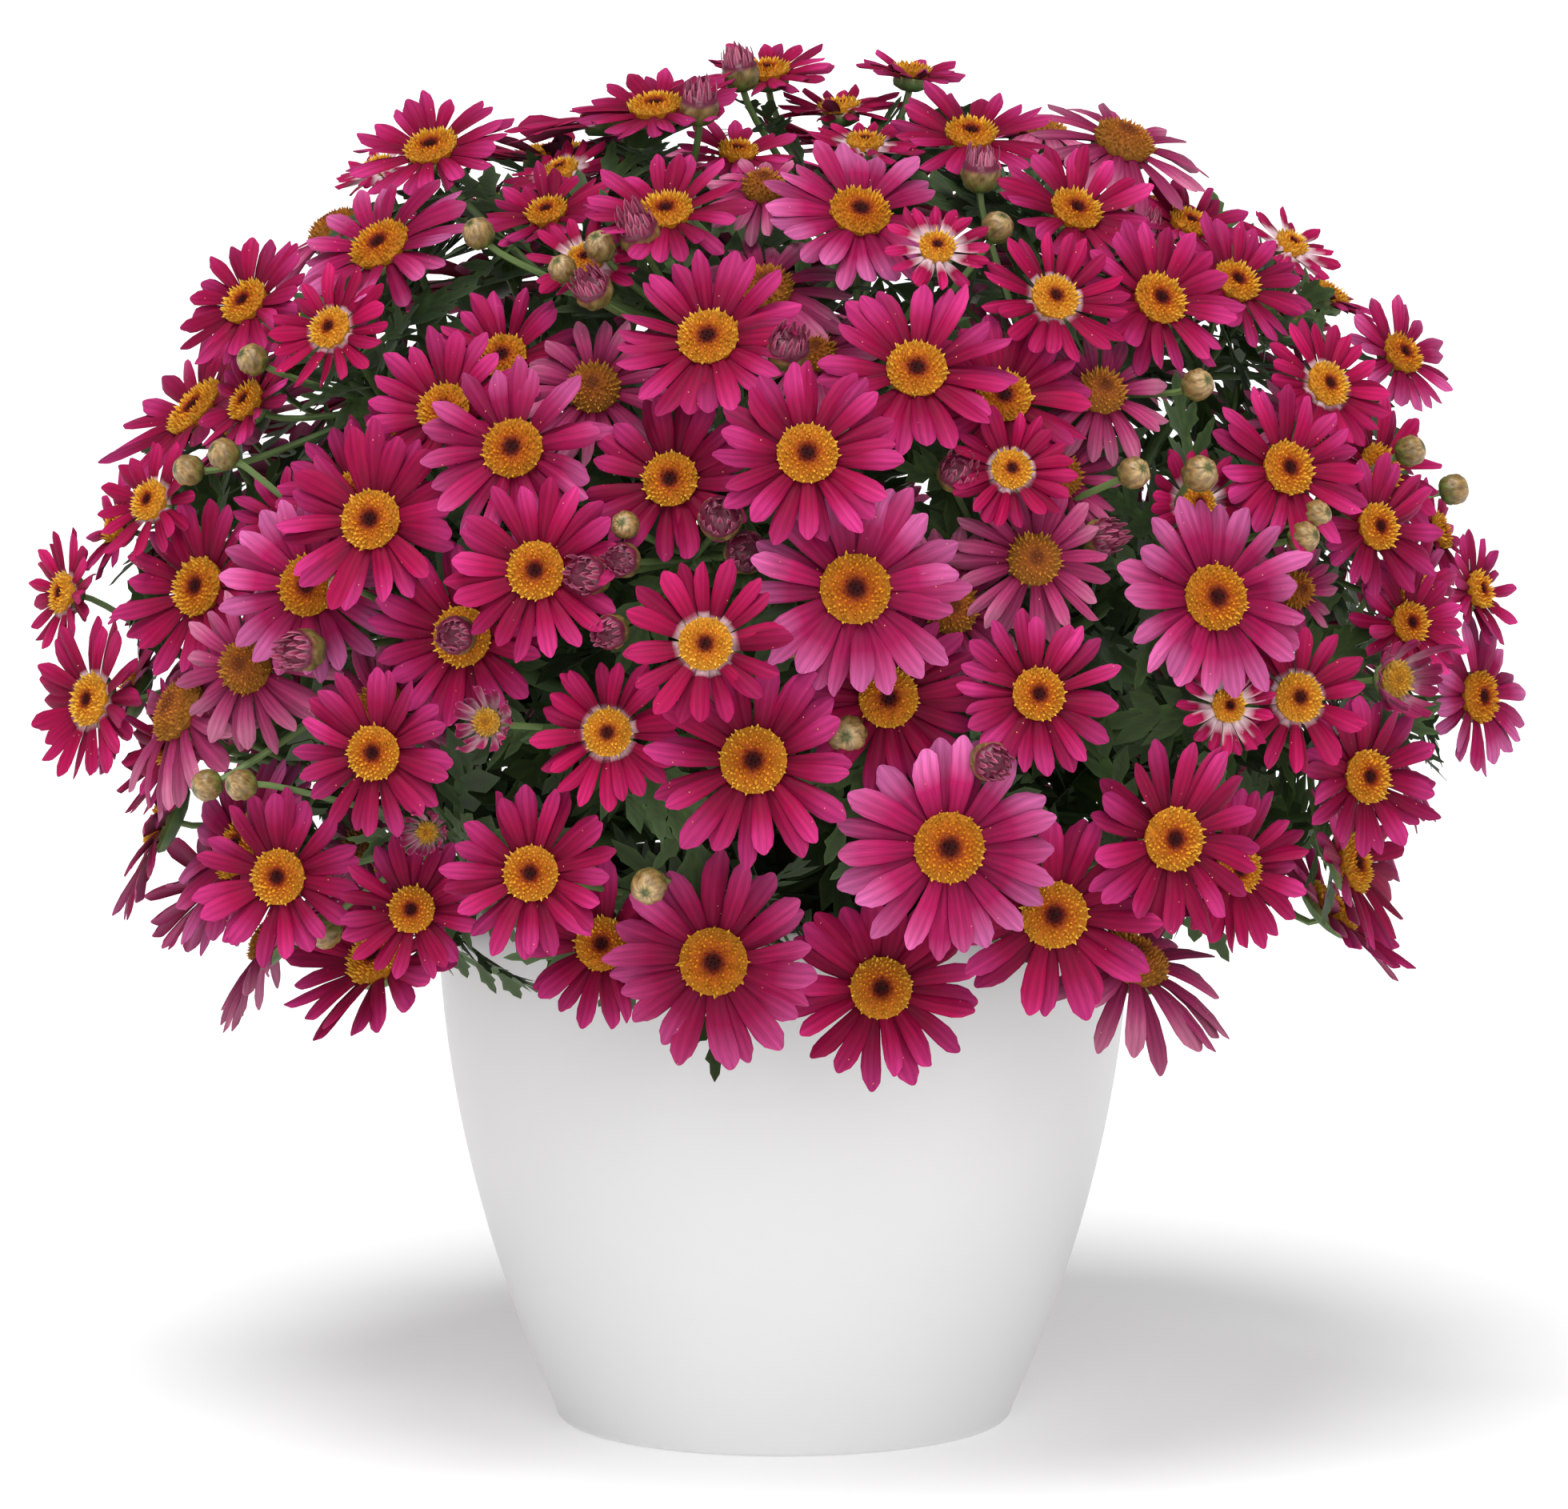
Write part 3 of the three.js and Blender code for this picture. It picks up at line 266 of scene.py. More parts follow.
@dataclass(frozen=True)
class Sight:
    """The point that the front heads are lined up from, and the point it looks at."""

    eye: tuple = (0, -2600, 500)
    aim: tuple = (0, 0, 186)
    aim_up: float = 183
    span: float = 260
    step: float = 2
    most_proud: float = 14

    def meets(self, dome: Dome, across: float, up: float) -> tuple[Array, float]:
        """Where the line from the sight point through a reading meets the dome first, or passes nearest.

        Args:
            dome: The dome to meet.
            across: The reading to the right of the axis, in the plane through the aim.
            up: The reading above the planter's base.

        Returns:
            The place on the dome, and how far outside it the line then passes.
        """
        forward = unit(np.subtract(self.aim, self.eye))
        rise = np.cross((1, 0, 0), forward)
        through = np.array(self.aim) + vector(across, 0, 0) + rise * (up - self.aim_up)
        ray = unit(through - self.eye)
        line = through + ray * np.arange(-self.span, self.span, self.step)[:, None]
        value = dome.value(line)
        inside = np.flatnonzero(value < 0)
        first = inside[0] if len(inside) else int(value.argmin())
        place = dome.onto(line[first])
        gap = float(lengths(line[first] - place))
        return place, min(self.most_proud, gap) if value[first] > 0.001 else 0.0


# ---- the planting plan


@dataclass(eq=False)
class Head:
    """A flower head: its place on the dome and, once settled, its centre and the directions of its face."""

    place: Array
    proud: float
    radius: float
    layer: int
    age: Age
    turn: float
    ease: float
    back: bool
    index: int = 0
    lift: float = 0.0
    spin: float = 0.0
    normal: Array = None
    centre: Array = None
    side: Array = None
    other: Array = None
    points: Array = None

    def settle(self, dome: Dome, depth: float, cup: float) -> None:
        """Puts the head at a depth below its lift, with test points round its petal tips and half way in.

        Args:
            dome: The dome of flowers.
            depth: How far below its lift the head lies.
            cup: How far its petal tips stand up, as a share of its radius.
        """
        self.centre = self.place + dome.normal(self.place) * (self.lift - depth)
        self.side = square_to(self.normal)
        self.other = np.cross(self.normal, self.side)
        points = [self.centre]
        for share, count in ((1, 16), (0.55, 8)):
            lifted = self.centre + self.normal * (cup * self.radius * share * share)
            points.extend(lifted + around(turns(count), self.side, self.other) * (self.radius * share))
        self.points = np.array(points)

    def spans(self, points: Array) -> tuple[Array, Array]:
        """How high each point stands over the face, and how far it is from the head's axis.

        Args:
            points: Any number of points.

        Returns:
            The two distances, for each point.
        """
        offset = points - self.centre
        height = offset @ self.normal
        across = np.sqrt(np.maximum(0, (offset * offset).sum(-1) - height * height))
        return height, across


@dataclass(eq=False)
class Bud:
    """A closed bud: its middle, its radius, and whether petals already show."""

    centre: Array
    radius: float
    pink: bool


@dataclass(eq=False)
class Spray:
    """Heads and buds whose stalks meet at one fork, and the branch that carries the fork."""

    heads: list[Head]
    fork: Array
    buds: list[Bud] = field(default_factory=list)
    start: Array = None
    seat: Array = None
    axis: Array = None


@dataclass(eq=False)
class Leaf:
    """A leaf: its root, the directions it grows in, and its length."""

    root: Array
    heading: Array
    side: Array
    up: Array
    length: float
    branch: tuple = ()
    points: Array = None


@dataclass(eq=False)
class Stem:
    """A leafy stem: its foot in the soil, its crotch, its top, and what it carries."""

    foot: Array
    crotch: Array
    top: Array
    sprays: list[Spray] = field(default_factory=list)
    leaves: list[Leaf] = field(default_factory=list)


@dataclass
class Planting:
    """Works out the whole plan. Its numbers are the same as those of the frame's solids, in millimetres."""

    dome: Dome = Dome()
    sight: Sight = Sight()
    head_seed: int = 7
    leaf_seed: int = 23
    spiral_steps: int = 150
    spiral_lowest: float = -0.42
    golden_angle: float = 2.399963
    back_gap: float = 15
    back_jitter: float = 5
    back_width: tuple = (44, 14)
    back_ages: str = "mpmmoympymom"
    layer_lift: tuple = (5, -4, -11)
    layer_ease: tuple = (0.3, 1, 1.5)
    lift_jitter: float = 1.5
    crown_sink: float = 8
    spread_rounds: int = 60
    least_distance: float = 0.5
    stalk_passage: float = 3.5
    face_clearance: float = 3.6
    rim_margin: float = 1.5
    near_margin: float = 12
    deepest: int = 34
    most_raised: int = 12
    least_rise: float = -0.1
    raised: float = 0.16
    turned: float = 0.65
    turn_fall: float = 0.4
    turn_from: float = 240
    turn_span: float = 140
    to_light: float = 0.3
    facing_jitter: tuple = (0.14, 0.2)
    sprays_wanted: int = 46
    fork_depth: float = 36
    fork_length: float = 9
    fork_behind: float = 0.65
    group_rounds: int = 8
    heart: float = 172
    lowest_fork: float = 159
    bud_lifts: tuple = (7, 3, -1, -6, -12)
    bud_step: float = 2
    bud_room: float = 2.6
    outer_stems: int = 9
    soil_level: float = 128
    stem_ring: float = 38
    middle_reach: float = 62
    crotch_radius: float = 56
    crotch_level: float = 160
    middle_rise: float = 12
    leader_radius: float = 84
    leader_top: float = 248
    branch_levels: tuple = (160, 300)
    leaf_length: float = 50
    leaf_arch: float = 0.16
    leaf_room: float = 3
    leaf_tries: int = 40
    leaf_from: float = 0.3
    leaf_span: float = 0.65
    leaf_spread: float = 0.9
    leaf_tilt: float = 0.35
    leaf_onward: float = 0.3
    leaf_upward: float = 0.7
    leaf_outward: float = 0.6
    leaf_sizes: tuple = (0.84, 0.3)
    pot_height: float = 150
    pot_rim_radius: float = 96.5
    pot_wall: float = 2.6
    pot_room: float = 4
    heads: list[Head] = field(default_factory=list)
    sprays: list[Spray] = field(default_factory=list)
    stems: list[Stem] = field(default_factory=list)

    # How far the petal tips stand above the disc's foot, as a share of the head's radius.
    CUPS = {
        Age.YOUNG: 0.14, Age.FULL: 0.1, Age.PALING: 0.02,
        Age.OLD: -0.14, Age.HALF_OPEN: 0.7, Age.WILTED: -0.45,
    }

    def turn_at(self, up: float) -> float:
        """How far a front head turns towards the sight point: less near the top."""
        return self.turned - self.turn_fall * max(0, (up - self.turn_from) / self.turn_span)

    def front(self) -> list[Head]:
        """The heads that are lined up from the sight point, each as wide as it looks from there.

        Returns:
            The heads, in the order of their table.
        """
        heads = []
        eye = np.array(self.sight.eye)
        for across, up, width, layer, age, *facing in FRONT_HEADS:
            outward = self.dome.normal(self.sight.meets(self.dome, across, up)[0])
            place, proud = self.sight.meets(self.dome, across, up - self.layer_lift[layer] * outward[2])
            radius = (width / 2) * (lengths(eye - place) / lengths(eye - np.array(self.sight.aim)))
            turn = facing[0] if facing else self.turn_at(up)
            heads.append(Head(place, proud, radius, layer, Age(age), turn, self.layer_ease[layer], False))
        return heads

    def behind(self, front: list[Head], draws: Draws) -> list[Head]:
        """Heads that fill the rest of the dome, on a golden-angle spiral, wherever no front head stands.

        Args:
            front: The heads that stand already.
            draws: The seeded draws.

        Returns:
            The new heads.
        """
        heads = []
        taken = np.array([head.place for head in front])
        room = np.array([head.radius + self.back_gap for head in front])
        for k in range(self.spiral_steps):
            c = 1 - ((k + 0.5) / self.spiral_steps) * (1 - self.spiral_lowest)
            s = math.sqrt(1 - c * c)
            turn = k * self.golden_angle
            aim = vector(s * math.cos(turn), s * math.sin(turn), c) * 100 + vector(0, 0, self.dome.level)
            place = self.dome.onto(self.dome.onto(aim) + draws.vector(self.back_jitter))
            width = self.back_width[0] + draws.next() * self.back_width[1]
            layer = int(draws.next() * 3)
            age = Age(self.back_ages[int(draws.next() * len(self.back_ages))])
            if np.all(lengths(taken - place) >= room):
                heads.append(Head(place, 0, width / 2, layer, age, 0, 1, True))
        return heads

    def spread(self, heads: list[Head]) -> None:
        """Pushes heads apart along the dome until each stalk can pass beside the next head.

        Args:
            heads: The heads.
        """
        places = [list(map(float, head.place)) for head in heads]
        traits = [(head.radius, head.ease) for head in heads]
        for _ in range(self.spread_rounds):
            for i, here in enumerate(places):
                radius, ease = traits[i]
                for j in range(i + 1, len(places)):
                    there = places[j]
                    apart = [there[0] - here[0], there[1] - here[1], there[2] - here[2]]
                    square = apart[0] * apart[0] + apart[1] * apart[1] + apart[2] * apart[2]
                    distance = max(self.least_distance, math.sqrt(square))
                    wanted = max(radius, traits[j][0]) + self.stalk_passage
                    if distance < wanted:
                        share = ease / (ease + traits[j][1])
                        push = (0.5 * (wanted - distance)) / distance
                        for axis in range(3):
                            here[axis] -= apart[axis] * push * share
                            there[axis] += apart[axis] * push * (1 - share)
            places = self.dome.onto(np.array(places)).tolist()
        for head, place in zip(heads, places):
            head.place = np.array(place)

    def face(self, head: Head, draws: Draws) -> Array:
        """The way a head faces: out of the dome, raised, and turned to the sight point or to the light.

        Args:
            head: The head.
            draws: The seeded draws.

        Returns:
            A unit vector.
        """
        outward = self.dome.normal(head.place)
        lifted = vector(outward[0], outward[1], max(outward[2], self.least_rise) + self.raised)
        towards = vector(0, 0, self.to_light)
        if not head.back:
            towards = unit(np.array(self.sight.eye) - head.place) * head.turn
        return unit(lifted + towards + draws.vector(self.facing_jitter[head.back]))

    def lift(self, head: Head, draws: Draws) -> float:
        """How far a head stands off the dome; those behind sink a little where the dome levels off.

        Args:
            head: The head.
            draws: The seeded draws.

        Returns:
            The distance, which is below zero for a sunken head.
        """
        upright = max(0, self.dome.normal(head.place)[2]) if head.back else 0
        jitter = (draws.next() * 2 - 1) * self.lift_jitter
        return self.layer_lift[head.layer] + head.proud + jitter - self.crown_sink * upright * upright

    def crosses(self, a: Head, b: Head) -> bool:
        """True where head a's face comes within the clearance of head b's, or passes through it.

        Args:
            a: The head whose face is tested.
            b: The head that it may cross.

        Returns:
            Whether it does.
        """
        height, across = b.spans(a.points)
        near = height[across < b.radius + self.rim_margin]
        return bool(len(near)) and near.min() < self.face_clearance and near.max() > -self.face_clearance

    def layer(self, heads: list[Head]) -> None:
        """Lets each head sink until its face is clear, or a proud front head rise where that is shorter.

        Args:
            heads: The heads.
        """
        settled: list[Head] = []
        for head in sorted(heads, key=lambda h: (h.layer, -h.radius, h.index)):
            cup = self.CUPS[head.age]
            head.settle(self.dome, 0, cup)
            near = [
                s for s in settled
                if lengths(s.centre - head.centre) < s.radius + head.radius + self.near_margin
            ]
            highest = self.most_raised if head.layer == 0 and not head.back else 0
            steps = range(1, self.deepest + 1)
            moves = (move for step in steps for move in ((step, -step) if step <= highest else (step,)))
            while any(self.crosses(head, s) or self.crosses(s, head) for s in near):
                move = next(moves, None)
                if move is None:
                    break
                head.settle(self.dome, move, cup)
            settled.append(head)

    def place_heads(self) -> None:
        """Places, faces and layers every head."""
        draws = Draws(self.head_seed)
        front = self.front()
        heads = front + self.behind(front, draws)
        self.spread(heads)
        for index, head in enumerate(heads):
            head.index = index
            head.normal = self.face(head, draws)
            head.lift = self.lift(head, draws)
            head.spin = draws.next() * TURN
        self.layer(heads)
        self.heads = heads

    def group(self) -> None:
        """Starts spray centres at every few heads and moves each to the middle of the heads nearest to it."""
        centres = np.array([head.centre for head in self.heads])
        share = len(centres) / self.sprays_wanted
        middles = centres[[int((k + 0.5) * share) for k in range(self.sprays_wanted)]]
        for _ in range(self.group_rounds):
            nearest = lengths(centres[:, None] - middles[None]).argmin(1)
            middles = np.array([
                centres[nearest == k].mean(0) if (nearest == k).any() else middles[k]
                for k in range(self.sprays_wanted)
            ])
        for k in range(self.sprays_wanted):
            members = [head for head, own in zip(self.heads, nearest) if own == k]
            if members:
                self.sprays.append(Spray(members, self.fork(members)))

    def fork(self, members: list[Head]) -> Array:
        """The fork lies under the middle of its heads, towards the heart of the plant and above the rim.

        Args:
            members: The heads of one spray.

        Returns:
            The fork's place.
        """
        middle = np.mean([head.centre for head in members], 0)
        fork = middle + unit(vector(0, 0, self.heart) - middle) * self.fork_depth
        return vector(fork[0], fork[1], max(fork[2], self.lowest_fork))

    def meets(self, bud: Bud, fork: Array, others: list[Spray]) -> bool:
        """True where a bud or its stalk comes near another spray's flowers.

        Args:
            bud: The bud.
            fork: The fork of its own spray.
            others: The other sprays.

        Returns:
            Whether it does.
        """
        steps = math.ceil(float(lengths(fork - bud.centre)) / self.bud_step)
        k = np.arange(steps + 1)
        points = blend(bud.centre, fork, (k / steps)[:, None])
        room = np.where(k * self.bud_step < bud.radius, bud.radius + self.bud_room, self.bud_room)
        for other in others:
            for head in other.heads:
                height, across = head.spans(points)
                if ((np.abs(height) < room + 1) & (across < head.radius + room - 1)).any():
                    return True
            flowers = np.array([flower.centre for flower in other.heads + other.buds])
            if (piece_distance(points, flowers, other.fork + 0 * flowers) < room[:, None]).any():
                return True
            if any((lengths(points - mate.centre) < room + mate.radius).any() for mate in other.buds):
                return True
        return False

    def place_buds(self) -> None:
        """Each bud joins the spray of the nearest head, as proud of the dome as it can stand clear."""
        for across, up, width, pink in FRONT_BUDS:
            place, _ = self.sight.meets(self.dome, across, up)
            near = [min(float(lengths(h.centre - place)) for h in spray.heads) for spray in self.sprays]
            own = self.sprays[int(np.argmin(near))]
            others = [spray for spray in self.sprays if spray is not own]
            for proud in self.bud_lifts:
                bud = Bud(place + self.dome.normal(place) * proud, width / 2, bool(pink))
                if not self.meets(bud, own.fork, others):
                    own.buds.append(bud)
                    break

    def place_stems(self) -> None:
        """Stands the stems in a ring with one in the middle, and gives each fork a branch of the nearest."""
        wedge = TURN / self.outer_stems
        for index in range(self.outer_stems + 1):
            middle = index == self.outer_stems
            out = vector(0, 0, 0) if middle else vector(math.cos(index * wedge), math.sin(index * wedge), 0)
            crotch = vector(0, 0, self.crotch_level + self.middle_rise * middle) + out * self.crotch_radius
            foot = vector(0, 0, self.soil_level) + out * self.stem_ring
            self.stems.append(Stem(foot, crotch, vector(0, 0, self.leader_top) + out * self.leader_radius))
        low, high = self.branch_levels
        for spray in self.sprays:
            x, y, z = spray.fork
            turned = int((math.atan2(y, x) + TURN) / wedge + 0.5) % self.outer_stems
            stem = self.stems[self.outer_stems if math.hypot(x, y) < self.middle_reach else turned]
            share = min(1, max(0, (z - low) / (high - low)))
            spray.start = blend(stem.crotch, stem.top, share)
            spray.axis = unit(spray.fork - spray.start)
            spray.seat = spray.fork - spray.axis * (self.fork_length * self.fork_behind)
            stem.sprays.append(spray)

    def pieces(self) -> tuple[Array, Array]:
        """The straight pieces of the plan: stems, branches and stalks, as two tables of ends.

        Returns:
            One end of each piece, and the other end of each.
        """
        pairs = []
        for stem in self.stems:
            pairs += [(stem.foot, stem.crotch), (stem.crotch, stem.top)]
            for spray in stem.sprays:
                pairs += [(spray.start, spray.seat), (spray.seat, spray.fork)]
        for spray in self.sprays:
            pairs += [(flower.centre, spray.fork) for flower in spray.heads + spray.buds]
        return np.array([a for a, _ in pairs]), np.array([b for _, b in pairs])

    def leaf_points(self, leaf: Leaf, along: Array, across: Array) -> Array:
        """Points of an arched leaf: out along its heading, and down with the square of that.

        Args:
            leaf: The leaf.
            along: The share of its length at each point.
            across: The share of its length aside.

        Returns:
            The points.
        """
        reach = leaf.root + leaf.heading * (along * leaf.length)[:, None]
        arched = leaf.up * (self.leaf_arch * along * along * leaf.length)[:, None]
        return reach - arched + leaf.side * (across * leaf.length)[:, None]

    def is_clear(self, leaf: Leaf, ends: tuple[Array, Array], leaves: list[Leaf]) -> bool:
        """True where a leaf stands clear of the pot, the stems and stalks, the heads and the other leaves.

        Args:
            leaf: The leaf.
            ends: The ends of every stem and stalk.
            leaves: The leaves that stand already.

        Returns:
            Whether it does.
        """
        p = leaf.points
        radius = np.sqrt(p[:, 0] ** 2 + p[:, 1] ** 2)
        low = (p[:, 2] <= self.pot_height + self.pot_room) & (radius <= self.pot_rim_radius + self.pot_room)
        walled = radius > self.pot_rim_radius - self.pot_wall - self.pot_room
        if (low & (walled | (p[:, 2] < self.soil_level + 2 * self.pot_room))).any():
            return False
        start, end = ends
        rooted = piece_distance(leaf.root[None], start, end)[0] < leaf.length
        own = (start == leaf.branch[0]).all(-1) & (end == leaf.branch[1]).all(-1)
        keep = rooted & ~own
        if keep.any() and (piece_distance(p, start[keep], end[keep]) < self.leaf_room + 1).any():
            return False
        for head in self.heads:
            if lengths(head.centre - leaf.root) < leaf.length + head.radius + 6:
                height, across = head.spans(p)
                if ((np.abs(height) < self.leaf_room + 1.5) & (across < head.radius + 2)).any():
                    return False
        for other in leaves:
            if lengths(other.root - leaf.root) < leaf.length + other.length:
                if (lengths(p[:, None] - other.points[None]) < self.leaf_room + 0.4).any():
                    return False
        return True

    def grow_leaves(self) -> None:
        """Grows a leaf from each branch, trying seeded headings until one stands clear of everything."""
        draws = Draws(self.leaf_seed)
        ends = self.pieces()
        along, across = [], []
        for step in np.arange(0.25, 1.05, 0.125):
            half = 0.1 if step < 0.4 else 0.3
            along += [step] * 5
            across += [share * half for share in (-1, -0.5, 0, 0.5, 1)]
        along, across = np.array(along), np.array(across)
        leaves: list[Leaf] = []
        for stem in self.stems:
            for spray in stem.sprays:
                for _ in range(self.leaf_tries):
                    share = self.leaf_from + draws.next() * self.leaf_span
                    root = blend(spray.start, spray.seat, share)
                    outward = self.dome.normal(root)
                    onward = spray.axis * self.leaf_onward
                    heading = unit(outward + onward + draws.vector(self.leaf_spread))
                    leant = outward * self.leaf_outward
                    upright = vector(0, 0, self.leaf_upward) + leant + draws.vector(self.leaf_tilt)
                    side = unit(np.cross(heading, upright))
                    least, span = self.leaf_sizes
                    length = self.leaf_length * (least + draws.next() * span)
                    leaf = Leaf(root, heading, side, np.cross(side, heading), length)
                    leaf.branch = (spray.start, spray.seat)
                    leaf.points = self.leaf_points(leaf, along, across)
                    if self.is_clear(leaf, ends, leaves):
                        stem.leaves.append(leaf)
                        leaves.append(leaf)
                        break

    def plan(self) -> "Planting":
        """Works everything out, in order.

        Returns:
            The finished plan.
        """
        self.place_heads()
        self.group()
        self.place_stems()
        self.place_buds()
        self.grow_leaves()
        return self


# ---- colours and finishes


def new_object(name: str, data: bpy.types.ID) -> bpy.types.Object:
    """A new object with its data, in the scene.

    Args:
        name: Its name.
        data: Its mesh, camera or light.

    Returns:
        The object.
    """
    item = bpy.data.objects.new(name, data)
    bpy.context.scene.collection.objects.link(item)
    return item


def linear(code: str) -> Array:
    """An sRGB hex colour as linear red, green and blue.

    Args:
        code: Six hex digits after a hash sign.

    Returns:
        Three linear parts from 0 to 1.
    """
    parts = np.array([int(code[k:k + 2], 16) for k in (1, 3, 5)]) / 255
    return np.where(parts <= 0.04045, parts / 12.92, ((parts + 0.055) / 1.055) ** 2.4)


def rgba(code: str) -> tuple:
    """An sRGB hex colour as the four linear parts that a socket takes."""
    return (*linear(code), 1.0)


def stops(share: Array, at: tuple, codes: tuple) -> Array:
    """Colours blended along a share: each hex code is reached at its own place.

    Args:
        share: Where each point lies, from 0 to 1.
        at: The place of each colour.
        codes: The colours, as sRGB hex.

    Returns:
        A linear colour for each point.
    """
    table = np.array([linear(code) for code in codes])
    return np.stack([np.interp(share, at, table[:, k]) for k in range(3)], -1)


def feed(tree: bpy.types.NodeTree, node: bpy.types.Node, links: dict) -> None:
    """Fills a node's inputs, by name or number: links those given a socket and sets the rest.

    Args:
        tree: The material's node tree.
        node: The node.
        links: A value or an output socket for each input.
    """
    for key, value in links.items():
        if isinstance(value, bpy.types.NodeSocket):
            tree.links.new(value, node.inputs[key])
        else:
            node.inputs[key].default_value = value


def add_node(tree: bpy.types.NodeTree, kind: str, links: dict, **settings: object) -> bpy.types.Node:
    """Adds a node with its settings, and fills or links its inputs.

    Args:
        tree: The material's node tree.
        kind: The node's type name, without ShaderNode.
        links: A value or an output socket for each input, by name or number.
        settings: The node's own properties.

    Returns:
        The new node.
    """
    node = tree.nodes.new("ShaderNode" + kind)
    for key, value in settings.items():
        setattr(node, key, value)
    feed(tree, node, links)
    return node


def new_material(name: str) -> tuple[bpy.types.Material, bpy.types.NodeTree, bpy.types.Node]:
    """An empty node material, its tree, and its Principled shader, joined to the output.

    Args:
        name: Its name.

    Returns:
        The material, the tree and the shader.
    """
    material = bpy.data.materials.new(name)
    material.use_nodes = True
    tree = material.node_tree
    tree.nodes.clear()
    shader = add_node(tree, "BsdfPrincipled", {})
    add_node(tree, "OutputMaterial", {"Surface": shader.outputs[0]})
    return material, tree, shader


@dataclass(frozen=True)
class LivingFinish:
    """The skin of a living plant part, whose colour is stored at each point as its tint.

    Fine streaks run along the part. They darken the tint, roughen the gloss and stand up as ribs. Sizes are
    in millimetres of the part's own length and width, which are stored at each point as its grain.
    """

    name: str
    streak_width: float
    streak_length: float
    streak_shade: float
    rib_height: float
    roughness: tuple
    sheen: float = 0.0
    sheen_colour: str = "#FFFFFF"
    gloss: float = 0.5
    speck_spacing: float = 0.0
    speck_colour: str = "#FFFFFF"
    speck_share: float = 0.1
    streak_range: tuple = (0.3, 0.7)

    def make(self) -> bpy.types.Material:
        """The material: tint times streaks, specks over it, and ribs.

        Returns:
            The new material.
        """
        material, tree, shader = new_material(self.name)
        tint = add_node(tree, "Attribute", {}, attribute_name="tint")
        grain = add_node(tree, "Attribute", {}, attribute_name="grain")
        scale = (1 / self.streak_width, 1 / self.streak_length, 1)
        placed = add_node(tree, "Mapping", {"Vector": grain.outputs["Vector"], "Scale": scale})
        streaks = add_node(
            tree, "TexNoise", {"Vector": placed.outputs[0], "Scale": 1, "Detail": 2, "Roughness": 0.6}
        )
        low, high = self.streak_range
        shade = add_node(
            tree, "MapRange",
            {0: streaks.outputs[0], 1: low, 2: high, 3: 1 - self.streak_shade, 4: 1 + self.streak_shade},
        )
        colour = add_node(
            tree, "VectorMath", {0: tint.outputs["Color"], 1: shade.outputs[0]}, operation="MULTIPLY"
        ).outputs[0]
        if self.speck_spacing:
            step = 1 / self.speck_spacing
            spread = add_node(tree, "Mapping", {"Vector": grain.outputs["Vector"], "Scale": (step, step, 1)})
            cells = add_node(tree, "TexVoronoi", {"Vector": spread.outputs[0], "Scale": 1})
            edge = self.speck_share
            specks = add_node(tree, "MapRange", {0: cells.outputs["Distance"], 1: edge, 2: 0.5 * edge})
            colour = add_node(
                tree, "Mix", {0: specks.outputs[0], 6: colour, 7: rgba(self.speck_colour)}, data_type="RGBA"
            ).outputs[2]
        smoothness = add_node(
            tree, "MapRange", {0: streaks.outputs[0], 3: self.roughness[0], 4: self.roughness[1]}
        )
        ribs = add_node(
            tree, "Bump", {"Strength": 1, "Distance": self.rib_height * MM, "Height": streaks.outputs[0]}
        )
        feed(tree, shader, {
            "Base Color": colour, "Roughness": smoothness.outputs[0], "Normal": ribs.outputs[0],
            "Sheen Weight": self.sheen, "Sheen Tint": rgba(self.sheen_colour),
            "Specular IOR Level": self.gloss,
        })
        return material


# Ray florets are velvety: tiny cone-shaped cells lighten them where light grazes. Fine veins run to the tip,
# and pale grains of pollen lie about on them.
PETAL_VELVET = LivingFinish(
    "petal_velvet", 0.55, 9, 0.18, 0.07, (0.48, 0.7), sheen=0.04, sheen_colour="#F08CC0", gloss=0.1,
    speck_spacing=3.6, speck_colour="#DDA070", speck_share=0.055,
)
# Disc florets are matt, waxy grains. The darker colour between them is partly their own and partly painted
# shade, and their tips are brighter in colour.
DISC_WAX = LivingFinish("disc_wax", 0.4, 0.4, 0.25, 0.08, (0.6, 0.85), gloss=0.12)
# Leaves have a thin matt bloom of wax over dark green, with paler veins.
LEAF_BLOOM = LivingFinish(
    "leaf_bloom", 0.9, 3.5, 0.2, 0.15, (0.45, 0.7), sheen=0.12, sheen_colour="#B9CFC2", gloss=0.4,
)
# Young stalks are ridged and satin, and the plant's lower stems are the same with a woody foot.
STALK_SKIN = LivingFinish("stalk_skin", 0.5, 8, 0.16, 0.12, (0.4, 0.6), gloss=0.4)
# Bud scales are dry, papery and a little glossy, with crinkles along them.
BUD_PAPER = LivingFinish("bud_paper", 0.5, 2.2, 0.2, 0.15, (0.25, 0.45), gloss=0.55)


